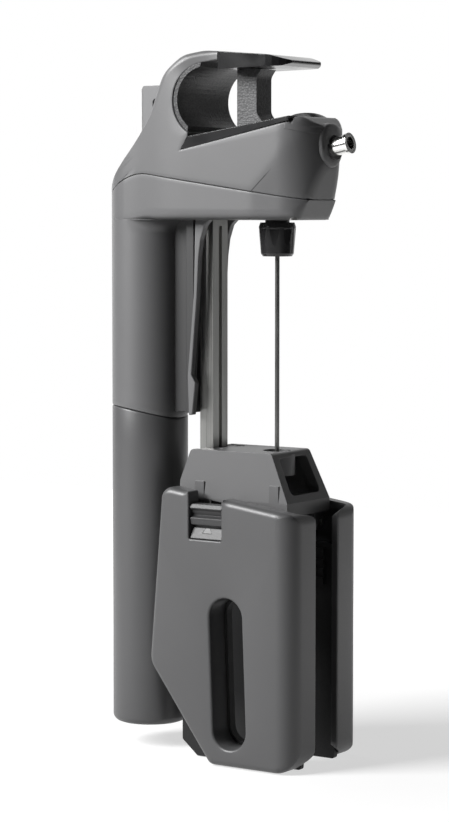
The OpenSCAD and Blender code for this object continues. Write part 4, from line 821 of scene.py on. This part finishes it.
# From inside the window out over the lip, the face and the rim, and back in along the wall. On the
# face a ring runs below the notch and behind the roll, so that no face folds over the next.
rim_arc = np.linspace(0, math.pi / 2, 9)
outside = [rim_row(t) for t in rim_arc]
face_edge = outside[0][:, [0, 2]]
face_top, face_front, inner_front, notch_wall = 71.5, 12.6, 12.9, 0.9
wall_back = -jaw_half + jaw_wall
below_latch = np.where(face_edge[:, 1:] > face_top, np.minimum(face_edge, [face_front, face_top]), face_edge)
below_latch[:, 0] = np.minimum(below_latch[:, 0], roll_x)
window_rim = [level(window_edge(below_latch, window_lip * (1 - math.sin(t))),
                    -jaw_half + window_lip * (1 - math.cos(t))) for t in np.linspace(0, math.pi / 2, 5)]
inner_edge = inset(jaw_edge, np.where(in_notch, notch_wall, jaw_wall))
inner_low = np.where(inner_edge[:, 1:] > face_top, np.minimum(inner_edge, [inner_front, face_top]), inner_edge)
window_in, window_out = window_edge(below_latch, 0), window_edge(below_latch, jaw_wall)
jaw_rings = [level(window_in, -jaw_inner), *window_rim[::-1], level(below_latch, -jaw_half), *outside,
             level(jaw_edge, wall_end - 0.3), level(inset(jaw_edge, 0.3), wall_end),
             level(inner_edge, wall_end), level(inner_edge, wall_back), level(inner_low, wall_back),
             level(window_out, wall_back), level(window_out, -jaw_inner), level(window_in, -jaw_inner)]
jaw_shell = loft(np.stack(jaw_rings), capped=False)

# The latch rides on a thin bed behind the notch.
bed_y, bed_t = -jaw_half + 4.6, 1.0
latch_bed = slab([(-22.4, 72.6), (-6.0, 72.6), (-6.0, 85.4), (-22.4, 85.4)], bed_y, bed_y + bed_t, 0.1, 0.1)
near_shell = joined(jaw_shell, latch_bed)
make_piece("near_jaw_shell", near_shell, jaw_coat, "near_jaw", ["near_jaw"])
make_piece("far_jaw_shell", mirrored(near_shell), jaw_coat, "far_jaw", ["far_jaw"])

# The latches are sprayed darker, and the arrow on each ramp is printed.
latch_coat = sprayed_coat("satin_latch_grey", "#2f2f30", "#2b2b2c", 0.5)
mark_ink = sprayed_coat("printed_light_mark", "#7c7c7c", "#757575", 0.55)
finish(latch_coat, "near_latch", "far_latch")
finish(mark_ink, "near_latch_mark", "far_latch_mark")

# ---------------------------------------------------------------------------------------------
# Inside: guide bush and rail shoe, pins, screws and springs, the cast frame, brass and alloy valve
# parts, and the plated gas capsule. They show through gaps and when the device is taken apart.
# ---------------------------------------------------------------------------------------------

bush_plastic = sprayed_coat("moulded_black_acetal", "#262627", "#212122", 0.4, 12, 0.6)
finish(bush_plastic, "needle_guide", "rail_shoe")
pin_steel = drawn_metal("turned_pin_steel", "#b9b9b7", 0.28, 12, 0.3, (0.05, 1, 1))
finish(pin_steel, "jaw_pins", "trigger_pin", "cap_screws", "rail_screws", "housing_screws", "piercing_pin",
       "valve_stem", "regulator_piston")
spring_wire = drawn_metal("drawn_spring_wire", "#a2a2a0", 0.34, 8, 0.3, (1, 1, 1))
finish(spring_wire, "jaw_springs", "trigger_spring", "valve_spring", "piston_spring")
plated_steel = drawn_metal("zinc_plated_steel", "#b4b6b8", 0.3, 20, 0.5, (1, 1, 0.05), "#989a9c")
finish(plated_steel, "gas_capsule")
# A raw casting is as matt and pitted as grained rubber, so it shares that pattern.
cast_metal = moulded_rubber("raw_cast_zinc", "#7b7b7b", "#6a6a6a", 0.55, 0.9, 0.1)
finish(cast_metal, "arm_frame")
turned_alloy = drawn_metal("turned_aluminium", "#c4c4c6", 0.26, 15, 0.4, (1, 1, 1))
finish(turned_alloy, "regulator_body", "regulator_cap")
milled_brass = drawn_metal("milled_brass", "#c9a95e", 0.26, 15, 0.4, (1, 1, 1), "#a98a48")
finish(milled_brass, "manifold", "valve_body")
clear_silicone = moulded_rubber("moulded_white_silicone", "#dcdcd8", "#cfcfca", 0.45, 1.2, 0.02)
finish(clear_silicone, "wine_check_valve")
hose_nylon = sprayed_coat("extruded_white_nylon", "#dddddc", "#d2d2d1", 0.35, 10, 0.8)
finish(hose_nylon, "gas_tube")
